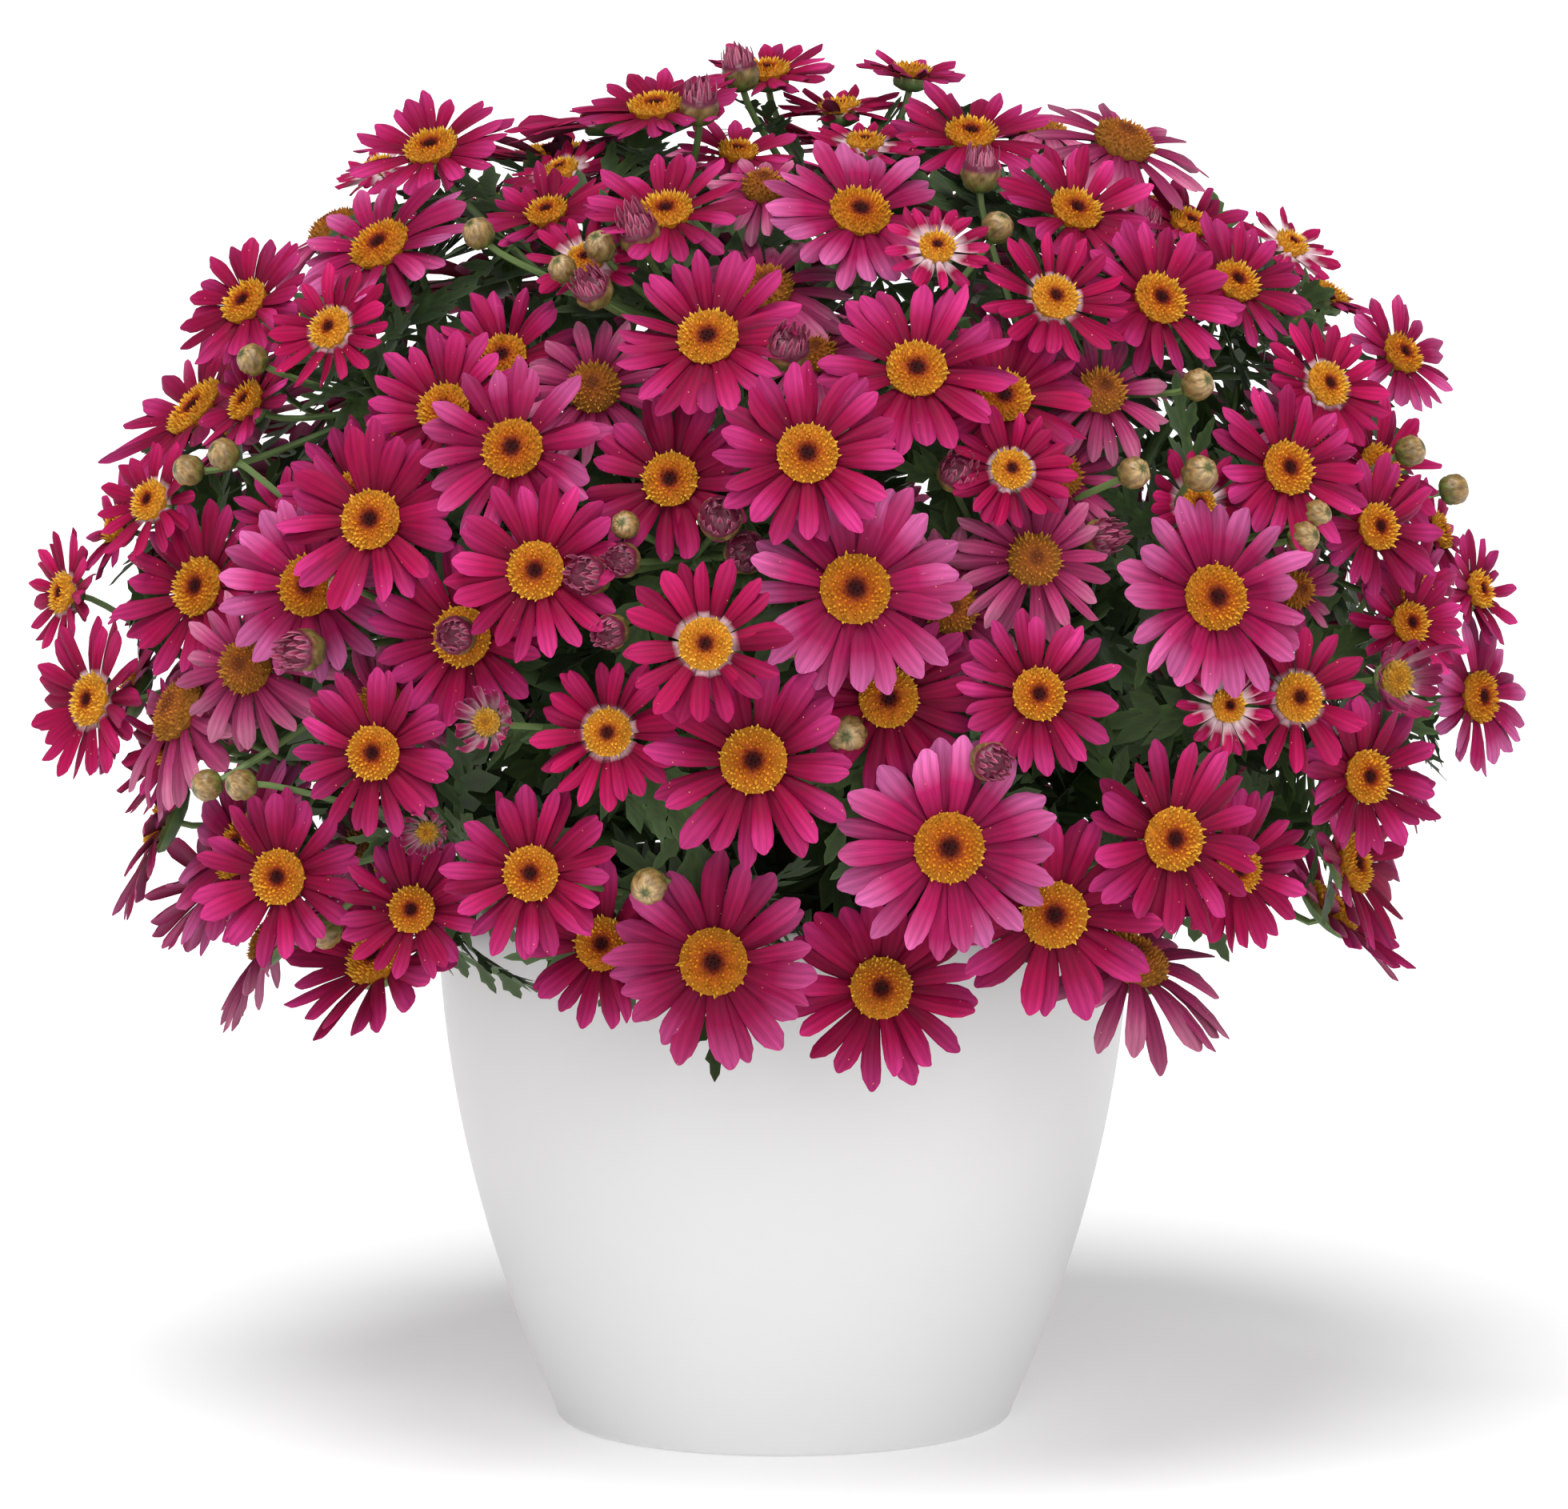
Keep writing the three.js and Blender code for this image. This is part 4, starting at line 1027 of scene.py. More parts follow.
@dataclass(frozen=True)
class GlossyPlastic:
    """White polypropylene, moulded against a satin tool: a soft gloss and a very faintly rippled skin."""

    name: str = "satin_white_polypropylene"
    colour: str = "#E2E2E2"
    shaded: str = "#DDDDDD"
    ripple_size: float = 6.0
    ripple_height: float = 0.012
    cloud_size: float = 45.0
    roughness: tuple = (0.3, 0.38)
    ior: float = 1.49

    def make(self) -> bpy.types.Material:
        """The material: barely clouded white, with ripples of a few millimetres.

        Returns:
            The new material.
        """
        material, tree, shader = new_material(self.name)
        place = add_node(tree, "TexCoord", {}).outputs["Object"]
        coarse, fine = 1 / (self.cloud_size * MM), 1 / (self.ripple_size * MM)
        clouds = add_node(tree, "TexNoise", {"Vector": place, "Scale": coarse, "Detail": 2})
        white = add_node(
            tree, "Mix", {0: clouds.outputs[0], 6: rgba(self.colour), 7: rgba(self.shaded)}, data_type="RGBA"
        )
        gloss = add_node(tree, "MapRange", {0: clouds.outputs[0], 3: self.roughness[0], 4: self.roughness[1]})
        ripples = add_node(tree, "TexNoise", {"Vector": place, "Scale": fine, "Detail": 1})
        skin = add_node(
            tree, "Bump", {"Strength": 1, "Distance": self.ripple_height * MM, "Height": ripples.outputs[0]}
        )
        feed(tree, shader, {
            "Base Color": white.outputs[2], "Roughness": gloss.outputs[0], "Normal": skin.outputs[0],
            "IOR": self.ior,
        })
        return material


@dataclass(frozen=True)
class MoistPeat:
    """Potting mix of moist peat with bits of bark: dark, matt crumbs of a few millimetres."""

    name: str = "moist_peat"
    dark: str = "#17110D"
    brown: str = "#3A2A1E"
    bark: str = "#5C4530"
    crumb_size: float = 3.0
    bark_size: float = 7.0
    bark_range: tuple = (0.24, 0.18)
    relief: float = 1.2
    roughness: tuple = (0.8, 0.98)

    def make(self) -> bpy.types.Material:
        """The material: two browns in crumbs, and a few paler flakes of bark.

        Returns:
            The new material.
        """
        material, tree, shader = new_material(self.name)
        place = add_node(tree, "TexCoord", {}).outputs["Object"]
        fine = 1 / (self.crumb_size * MM)
        crumbs = add_node(tree, "TexNoise", {"Vector": place, "Scale": fine, "Detail": 5, "Roughness": 0.7})
        flakes = add_node(tree, "TexVoronoi", {"Vector": place, "Scale": 1 / (self.bark_size * MM)})
        soil = add_node(
            tree, "Mix", {0: crumbs.outputs[0], 6: rgba(self.dark), 7: rgba(self.brown)}, data_type="RGBA"
        )
        low, high = self.bark_range
        few = add_node(tree, "MapRange", {0: flakes.outputs["Distance"], 1: low, 2: high})
        colour = add_node(
            tree, "Mix", {0: few.outputs[0], 6: soil.outputs[2], 7: rgba(self.bark)}, data_type="RGBA"
        )
        rough = add_node(tree, "MapRange", {0: crumbs.outputs[0], 3: self.roughness[0], 4: self.roughness[1]})
        lumps = add_node(
            tree, "Bump", {"Strength": 1, "Distance": self.relief * MM, "Height": crumbs.outputs[0]}
        )
        feed(tree, shader, {
            "Base Color": colour.outputs[2], "Roughness": rough.outputs[0], "Normal": lumps.outputs[0],
        })
        return material


# ---- skins


class Skin:
    """Gathers patches of a sub-assembly, each a stack of copies of one net of faces, into one mesh."""

    # Faces that meet at more than this stay creased.
    SHARP = math.radians(60)

    def __init__(self) -> None:
        """Starts with no patches."""
        self.points: list[Array] = []
        self.tints: list[Array] = []
        self.grains: list[Array] = []
        self.faces: list[Array] = []
        self.count = 0

    def add(self, points: Array, nets: list[Array], tint: Array, grain: Array) -> None:
        """Adds a stack of copies.

        Args:
            points: Copies by points by three, in millimetres.
            nets: Tables of point numbers, one for each kind of face.
            tint: The linear colour of each point.
            grain: How far across and along the part each point lies, and a number for the part.
        """
        copies, size = points.shape[:2]
        first = self.count + size * np.arange(copies)[:, None, None]
        self.faces += [(net[None] + first).reshape(-1, net.shape[1]) for net in nets]
        self.points.append(points.reshape(-1, 3))
        self.tints.append(np.broadcast_to(tint, points.shape).reshape(-1, 3))
        self.grains.append(np.broadcast_to(grain, points.shape).reshape(-1, 3))
        self.count += copies * size

    def make(self, name: str, material: bpy.types.Material, slot: str, nodes: list[str]) -> bpy.types.Object:
        """Makes the mesh, parents it to its body, gives it its material and hides the frame's nodes that it
        stands for.

        Args:
            name: The piece's name.
            material: Its material.
            slot: The record's slot for its finish, or nothing where the record has none. Not used.
            nodes: The frame's nodes that it stands for.

        Returns:
            The new object.
        """
        mesh = bpy.data.meshes.new(name)
        points = np.concatenate(self.points) * MM
        mesh.vertices.add(len(points))
        mesh.vertices.foreach_set("co", points.ravel())
        corners = np.concatenate([face.ravel() for face in self.faces])
        sizes = np.concatenate([np.full(len(face), face.shape[1]) for face in self.faces])
        mesh.loops.add(len(corners))
        mesh.loops.foreach_set("vertex_index", corners)
        mesh.polygons.add(len(sizes))
        mesh.polygons.foreach_set("loop_start", np.cumsum(sizes) - sizes)
        mesh.polygons.foreach_set("use_smooth", np.ones(len(sizes), bool))
        tints = np.concatenate(self.tints)
        tint = mesh.attributes.new("tint", "FLOAT_COLOR", "POINT")
        tint.data.foreach_set("color", np.column_stack([tints, np.ones(len(tints))]).ravel())
        grain = mesh.attributes.new("grain", "FLOAT_VECTOR", "POINT")
        grain.data.foreach_set("vector", np.concatenate(self.grains).ravel())
        mesh.update(calc_edges=True)
        mesh.set_sharp_from_angle(angle=self.SHARP)
        mesh.materials.append(material)
        piece = new_object(name, mesh)
        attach(piece, BODY)
        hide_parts(*nodes)
        LOG.info("%s: %d points, %d triangles", name, len(points), int((sizes - 2).sum()))
        return piece


def tube_nets(stops_count: int, sides: int) -> list[Array]:
    """The faces of a closed tube: quads between its rings, and a flat end at each stop.

    Args:
        stops_count: How many rings the tube has.
        sides: How many points a ring has, turning left about the tube's heading.

    Returns:
        A table of quads and a table of ends.
    """
    ring, k = np.meshgrid(np.arange(stops_count - 1), np.arange(sides), indexing="ij")
    here, there = ring * sides + k, ring * sides + (k + 1) % sides
    quads = np.stack([here, there, there + sides, here + sides], -1).reshape(-1, 4)
    last = (stops_count - 1) * sides + np.arange(sides)
    return [quads, np.stack([np.arange(sides)[::-1], last])]


def tube(paths: Array, radii: Array, sides: int, first: Array) -> Array:
    """Round sections carried along paths: path + radius * (cos(angle) side + sin(angle) other).

    Args:
        paths: Copies by stops by three.
        radii: The radius at each stop, for all copies or for each.
        sides: How many points a section has.
        first: A direction to start the sections from, for each copy.

    Returns:
        Copies by points by three, in the order that tube_nets takes.
    """
    ahead = unit(np.gradient(paths, axis=1))
    side = unit(first)
    radii = np.broadcast_to(radii, paths.shape[:2])
    rings = []
    for stop in range(paths.shape[1]):
        heading = ahead[:, stop]
        side = unit(side - heading * (side * heading).sum(-1, keepdims=True))
        other = np.cross(heading, side)
        ring = around(turns(sides), side[:, None], other[:, None])
        rings.append(paths[:, stop, None] + ring * radii[:, stop, None, None])
    return np.stack(rings, 1).reshape(len(paths), -1, 3)


def bezier(a: Array, b: Array, c: Array, d: Array, steps: int) -> Array:
    """Points along the cubic curve from a to d that leaves towards b and arrives from c, for each copy.

    Args:
        a: Where each curve starts.
        b: Where it heads for.
        c: Where it comes from.
        d: Where it ends.
        steps: How many points it has.

    Returns:
        Copies by steps by three.
    """
    t = np.linspace(0, 1, steps)[None, :, None]
    s = 1 - t
    return a[:, None] * s**3 + 3 * b[:, None] * s * s * t + 3 * c[:, None] * s * t * t + d[:, None] * t**3


# ---- flower heads


@dataclass(frozen=True)
class Bloom:
    """How a head looks at its age: the lie of its rays, and the colours of rays and disc."""

    rise: float
    curl: float
    width: float
    ray_tint: tuple
    disc_tint: tuple
    grain_tint: tuple
    dome: float
    dip: float
    white: float = 0.0
    droop: float = 5.0
    reach: float = 1.13


# Ray tints run from the root by way of the middle to the tip. Disc and grain tints run from the disc's centre
# to its rim: disc tints lie between the grains, and grain tints on their tips.
BLOOMS = {
    Age.YOUNG: Bloom(
        12, -12, 0.255, ("#8A0434", "#9E0842", "#BA1E60"),
        ("#280808", "#80200F", "#BE6E1C", "#C28422"), ("#400C0A", "#B03A14", "#FFC834", "#FFDE62"),
        1.6, 0.9, 0.95,
    ),
    Age.FULL: Bloom(
        15, -16, 0.26, ("#80042E", "#980A42", "#BE3076"),
        ("#220608", "#74140C", "#AE5816", "#B2721A"), ("#380A0C", "#A82C14", "#FFBA2A", "#FFD854"),
        1.7, 1.2,
    ),
    Age.PALING: Bloom(
        10, -22, 0.265, ("#900A40", "#A41856", "#CC64A0"),
        ("#260808", "#701810", "#AE5614", "#A86C1A"), ("#3A0C0A", "#A03016", "#F6A824", "#F0BE3E"),
        2.0, 1.1,
    ),
    Age.OLD: Bloom(
        -2, -30, 0.23, ("#921848", "#AC3A6C", "#C87294"),
        ("#5A2A12", "#7A4018", "#945220", "#8A5A20"), ("#A05A22", "#B86C28", "#D08830", "#C89038"),
        4.2, 0.0,
    ),
    Age.HALF_OPEN: Bloom(
        42, 30, 0.25, ("#B87088", "#982A5A", "#9C2254"),
        ("#8A5A1C", "#A8701F", "#B5801F", "#B5903F"), ("#C8902C", "#D89E2C", "#E8B040", "#D8B860"),
        1.2, 0.0, 0.35, 8.0, 0.76,
    ),
    Age.WILTED: Bloom(
        -15, -38, 0.2, ("#6A2A3C", "#7E425A", "#8C5A6C"),
        ("#3A2010", "#4E2C14", "#5E3816", "#4E3C18"), ("#6A4220", "#7A4E22", "#8A5E26", "#7E6830"),
        4.4, 0.0, 0.0, 12.0,
    ),
}


@dataclass
class Rays:
    """The ray florets: long blunt petals in two overlapping rows round each disc.

    A ray's middle line leaves the disc at a rise from the head's face and curls evenly: its slope at share u
    of its length is rise + curl * u. Its half width grows from a narrow claw and ends in a half ellipse, and
    across it three soft ridges stand between two grooves, on a low arch. Angles are in degrees, and a spread
    or a light is the range or the deviation of a draw.
    """

    rows: tuple = (0, 0.1, 0.16, 0.42, 0.72, 0.91, 1)
    columns: int = 7
    root: float = 0.32
    claw: float = 0.56
    claw_from: float = -0.1
    widest: float = 0.68
    tip_end: float = 1.045
    tip_lag: float = 0.085
    full_head: float = 28.0
    fewest: float = 14.0
    most: float = 23.0
    count_spread: tuple = (-1, 1.5)
    reach_spread: tuple = (-0.1, 0.06)
    width_spread: tuple = (0.82, 1.14)
    arch_spread: tuple = (0.3, 1.5)
    curl_spread: float = 7.0
    least_curl: float = 0.02
    sway: float = 0.07
    roll: float = 18.0
    stagger: float = 0.3
    thickness: float = 0.3
    ridge: float = 0.13
    ridge_span: tuple = (0.04, 0.93)
    arch: float = 0.9
    lower_row: float = 0.4
    upper_row: float = 1.4
    upper_rise: float = 2.5
    upper_short: float = 0.03
    # The groove, rim and foot shades below are painted shade in the grooves, towards the edges and towards
    # the root of each ray.
    groove_shade: float = 0.26
    groove_width: float = 0.12
    rim_shade: float = 0.2
    rim_from: float = 0.6
    foot_shade: float = 0.25
    foot_span: tuple = (0.1, 0.5)
    ray_tone: float = 0.3
    head_tone: float = 0.12
    # Painted light on the upper row of rays and painted shade on the lower one, under it.
    row_light: tuple = (1.06, 0.88)
    ray_light: tuple = (0.77, 1.22)
    head_light: tuple = (0.92, 1.06)
    freshest: float = 0.8
    white_tint: str = "#EAD2DA"
    white_end: tuple = (0.125, 0.16)
    white_spread: tuple = (0.8, 1.2)
    under_tint: str = "#C2789C"
    under_share: float = 0.5
    small_head: float = 15.0
    small_fade: float = 4.0
    grain_step: float = 40.0
    seed: int = 500

    def template(self) -> tuple[Array, Array, Array]:
        """Shares along and across for each point of a ray, and which points lie on its underside.

        Returns:
            Three values for each point.
        """
        u, v = np.meshgrid(self.rows, np.linspace(-1, 1, self.columns), indexing="ij")
        under = np.zeros(len(self.rows))
        along = np.concatenate([u.ravel(), self.rows])
        across = np.concatenate([v.ravel(), under])
        below = np.concatenate([np.zeros(u.size), under + 1])
        return along, across, below

    def nets(self) -> list[Array]:
        """A ray's faces: a grid above, two quads a row beneath, and an end at the root and at the tip.

        Returns:
            A table of quads and a table of ends.
        """
        rows, columns = len(self.rows), self.columns
        r, c = np.meshgrid(np.arange(rows - 1), np.arange(columns - 1), indexing="ij")
        a = (r * columns + c).ravel()
        above = np.stack([a, a + columns, a + columns + 1, a + 1], -1)
        r = np.arange(rows - 1)
        middle = rows * columns + r
        left, right = r * columns, r * columns + columns - 1
        beneath = np.concatenate([
            np.stack([left, middle, middle + 1, left + columns], -1),
            np.stack([middle, right, right + columns, middle + 1], -1),
        ])
        root = np.append(np.arange(columns), rows * columns)
        tip = np.append(np.arange(columns)[::-1] + (rows - 1) * columns, rows * columns + rows - 1)
        return [np.concatenate([above, beneath]), np.stack([root, tip])]

    def half_width(self, u: Array) -> Array:
        """The half width as a share of the widest: a smooth rise from the claw, then a blunt half ellipse.

        Args:
            u: The share along the ray.

        Returns:
            The share of its widest.
        """
        rise = blend(self.claw, 1, smooth(u, self.claw_from, self.widest))
        fall = np.sqrt(1 - (np.maximum(0, u - self.widest) / (self.tip_end - self.widest)) ** 3)
        return rise * fall

    def ring(self, head: Head, skin: Skin) -> None:
        """Adds the rays of one head.

        Args:
            head: The head.
            skin: The skin that takes it.
        """
        bloom = BLOOMS[head.age]
        rng = np.random.default_rng(self.seed + head.index)
        size = min(1, head.radius / self.full_head)
        count = int(round(blend(self.fewest, self.most, size) + rng.uniform(*self.count_spread)))
        k = np.arange(count)
        turn = head.spin + (k + rng.uniform(-self.stagger, self.stagger, count)) / count * TURN
        upper = k % 2
        u, v, below = self.template()
        reach = head.radius * (
            bloom.reach + rng.uniform(*self.reach_spread, count) - self.upper_short * upper
        )
        rise = np.radians(bloom.rise + rng.normal(0, bloom.droop, count) + self.upper_rise * upper)
        curl = np.radians(bloom.curl + rng.normal(0, self.curl_spread, count))
        curl = np.where(np.abs(curl) < self.least_curl, self.least_curl, curl)
        start = self.root * head.radius
        length = (reach - start) / ((np.sin(rise + curl) - np.sin(rise)) / curl)
        half = bloom.width * 0.5 * head.radius * rng.uniform(*self.width_spread, count)
        rise, curl, length, half = (x[:, None] for x in (rise, curl, length, half))
        # The outer columns lag behind the middle one towards the tip, which rounds it.
        t = u - self.tip_lag * v * v * u**4
        slope = rise + curl * t
        out = start + length * (np.sin(slope) - np.sin(rise)) / curl
        up = length * (np.cos(rise) - np.cos(slope)) / curl
        up = up + np.where(upper, self.upper_row, self.lower_row)[:, None]
        arch = rng.uniform(*self.arch_spread, (count, 1)) * self.arch
        fade = np.sin(math.pi * np.clip(u, *self.ridge_span))
        relief = self.ridge * np.cos(3 * math.pi * v) * fade - arch * v * v
        relief = relief - self.thickness * below
        bend = rng.normal(0, self.sway, (count, 1)) * length * u * u
        roll = np.radians(rng.normal(0, self.roll, (count, 1))) * u
        across = v * half * self.half_width(u)
        sideways = bend + across * np.cos(roll) - relief * np.sin(roll)
        relief = across * np.sin(roll) + relief * np.cos(roll)
        outward = around(turn, head.side, head.other)
        tangent = around(turn, head.other, -head.side)
        points = (
            head.centre
            + outward[:, None] * (out - np.sin(slope) * relief)[..., None]
            + tangent[:, None] * sideways[..., None]
            + head.normal * (up + np.cos(slope) * relief)[..., None]
        )
        grain = joined(across + self.grain_step * k[:, None], u * length, float(head.index))
        skin.add(points, self.nets(), self.tints(head, bloom, rng, u, v, below, count), grain)

    def tints(
        self, head: Head, bloom: Bloom, rng: np.random.Generator, u: Array, v: Array, below: Array, count: int
    ) -> Array:
        """The colour of each point: root to tip, darkened by painted shade in the grooves, towards the edges,
        towards the root and on the lower row, lightened by painted light on the upper row, paler beneath, and
        uneven.

        Args:
            head: The head.
            bloom: How it looks at its age.
            rng: Its seeded draws.
            u: The share along a ray of each point.
            v: The share across it, from -1 to 1.
            below: One on its underside and zero above.
            count: How many rays the head has.

        Returns:
            A linear colour for each point of each ray.
        """
        tone = rng.uniform(-self.ray_tone, self.ray_tone, (count, 1))
        tone = tone + rng.uniform(-self.head_tone, self.head_tone)
        along = np.clip(u + tone * u, 0, 1)
        colour = stops(along, (0, 0.5, 1), bloom.ray_tint)
        if head.age is Age.PALING:
            fresh = stops(along, (0, 0.5, 1), BLOOMS[Age.FULL].ray_tint)
            colour = blend(colour, fresh, rng.uniform(0, self.freshest))
        # Painted shade: each ray is darker along its two grooves, on its upper side.
        groove = np.exp(-((np.abs(v) - 1 / 3) / self.groove_width) ** 2)
        groove = 1 - self.groove_shade * groove * (1 - below)
        # Painted shade: each ray darkens towards its edges.
        rim = 1 - self.rim_shade * smooth(np.abs(v), self.rim_from, 1.0)
        # Painted shade: each ray darkens towards its root, in the crevice by the disc.
        foot = 1 - self.foot_shade * (1 - smooth(u, *self.foot_span))
        # Painted light and shade: the upper row of rays is lighter, and the lower row, under it, darker.
        row = np.where(np.arange(count) % 2, *self.row_light)[:, None]
        light = rng.uniform(*self.ray_light, (count, 1)) * row * rng.uniform(*self.head_light)
        colour = colour * (groove * rim * foot * light)[..., None]
        # The white foot of a young ray is a thin rim on large heads, and runs up its edges on small ones.
        small = min(1.0, max(0.0, (self.small_head - head.radius) / self.small_fade))
        least, more = self.white_end
        end = (least + more * small) * rng.uniform(*self.white_spread, (count, 1))
        white = bloom.white * (0.75 + 0.25 * small)
        white = white * (1 - smooth(u - 0.5 * small * v * v, (0.5 - 0.3 * small) * end, end + 0.2 * small))
        colour = blend(colour, linear(self.white_tint), white[..., None])
        return blend(colour, linear(self.under_tint), (self.under_share * below)[None, :, None])


@dataclass
class Discs:
    """The discs: a low cushion, sunken in the middle, set with florets in a golden-angle spiral.

    Floret k stands at radius disc * sqrt((k + 0.5) / count) and angle k times the golden angle. The cushion's
    height over its rim at share s of the radius is dome * (1 - s^2) - dip * exp(-(s / dip_width)^2).
    """

    share: float = 0.355
    foot: float = 1.0
    rim: float = 1.0
    rings: int = 6
    sides: int = 18
    dip_width: float = 0.36
    zones: tuple = (0.18, 0.34, 0.46, 0.97)
    under_share: float = 0.96
    under_foot: float = 0.4
    golden_angle: float = 2.399963
    turn_jitter: float = 0.06
    densest: float = 165.0
    fewest: int = 16
    full_head: float = 27.0
    growth: float = 1.4
    floret: float = 1.1
    floret_height: float = 1.35
    height_spread: tuple = (0.7, 1.3)
    width_spread: tuple = (0.75, 1.1)
    light_spread: tuple = (0.6, 1.25)
    slope_lean: float = 0.7
    rim_lean: float = 0.35
    lean_jitter: float = 0.13
    unripe: float = 0.35
    ripening: tuple = (0.3, 0.55)
    sunk: float = 0.15
    seed: int = 900

    def height(self, s: Array, bloom: Bloom) -> Array:
        """The cushion's height above the head's face at each share of its radius."""
        dip = bloom.dip * np.exp(-((s / self.dip_width) ** 2))
        return self.foot + self.rim + bloom.dome * (1 - s * s) - dip

    def colours(self, s: Array, tints: tuple) -> Array:
        """A disc's colour at each share of its radius."""
        return stops(s, self.zones, tints)

    def cushion(self, head: Head, bloom: Bloom, disc: float, skin: Skin) -> None:
        """Adds the cushion that carries the florets.

        Args:
            head: The head.
            bloom: How the head looks at its age.
            disc: The disc's radius.
            skin: The skin that takes it.
        """
        s = np.append(np.linspace(0.02, 1, self.rings), self.under_share)
        level = np.append(self.height(s[:-1], bloom), self.foot * self.under_foot)
        ring = around(turns(self.sides), head.side, head.other)
        points = head.centre + ring * (s * disc)[:, None, None] + head.normal * level[:, None, None]
        # The rings run inwards from the rim's foot, so that a tube's faces point out.
        points = points[::-1].reshape(1, -1, 3)
        # Partly painted shade: the cushion, seen between the florets, takes the darker disc tints, which are
        # partly its own colour and partly shade.
        tint = np.repeat(self.colours(s, bloom.disc_tint)[::-1], self.sides, 0)
        skin.add(points, tube_nets(len(s), self.sides), tint, points)

    def florets(self, head: Head, bloom: Bloom, disc: float, skin: Skin) -> None:
        """Adds the florets: slim three-sided points that lean outward, dark at the foot and bright above.

        Args:
            head: The head.
            bloom: How the head looks at its age.
            disc: The disc's radius.
            skin: The skin that takes it.
        """
        rng = np.random.default_rng(self.seed + head.index)
        count = int(self.densest * min(1, (head.radius / self.full_head) ** self.growth) + self.fewest)
        k = np.arange(count)
        s = np.sqrt((k + 0.5) / count)
        turn = k * self.golden_angle + rng.normal(0, self.turn_jitter, count)
        outward = around(turn, head.side, head.other)
        slope = 2 * bloom.dome * s / disc
        lean = outward * (slope * self.slope_lean + self.rim_lean * s**3)[:, None]
        up = unit(head.normal + lean + rng.normal(0, self.lean_jitter, (count, 3)))
        ripe = blend(self.unripe, 1, smooth(s, *self.ripening))
        tall = self.floret_height * ripe * rng.uniform(*self.height_spread, count)
        wide = self.floret * disc * math.sqrt(1 / count) * rng.uniform(*self.width_spread, count)
        base = head.centre + outward * (s * disc)[:, None] + head.normal * self.height(s, bloom)[:, None]
        one = unit(outward - up * (outward * up).sum(-1, keepdims=True))
        two = np.cross(up, one)
        foot = base - up * self.sunk
        points = np.stack([
            foot + one * wide[:, None], foot - (one * 0.5 - two * 0.87) * wide[:, None],
            foot - (one * 0.5 + two * 0.87) * wide[:, None], base + up * tall[:, None],
        ], 1)
        ring = np.arange(3)
        sides = np.stack([ring, (ring + 1) % 3, ring * 0 + 3], -1)
        # Partly painted shade: each floret's foot takes the darker disc tint, partly the disc's own colour
        # and partly shade between the florets, and its tip the bright grain tint.
        low = self.colours(s, bloom.disc_tint)[:, None]
        high = self.colours(s, bloom.grain_tint)[:, None] * rng.uniform(*self.light_spread, (count, 1, 1))
        shade = np.array([0, 0, 0, 1])[None, :, None]
        skin.add(points, [sides, ring[None, ::-1]], blend(low, high, shade), points - head.centre)

    def seat(self, head: Head, skin: Skin) -> None:
        """Adds one head's disc.

        Args:
            head: The head.
            skin: The skin that takes it.
        """
        bloom = BLOOMS[head.age]
        disc = self.share * head.radius
        self.cushion(head, bloom, disc, skin)
        self.florets(head, bloom, disc, skin)


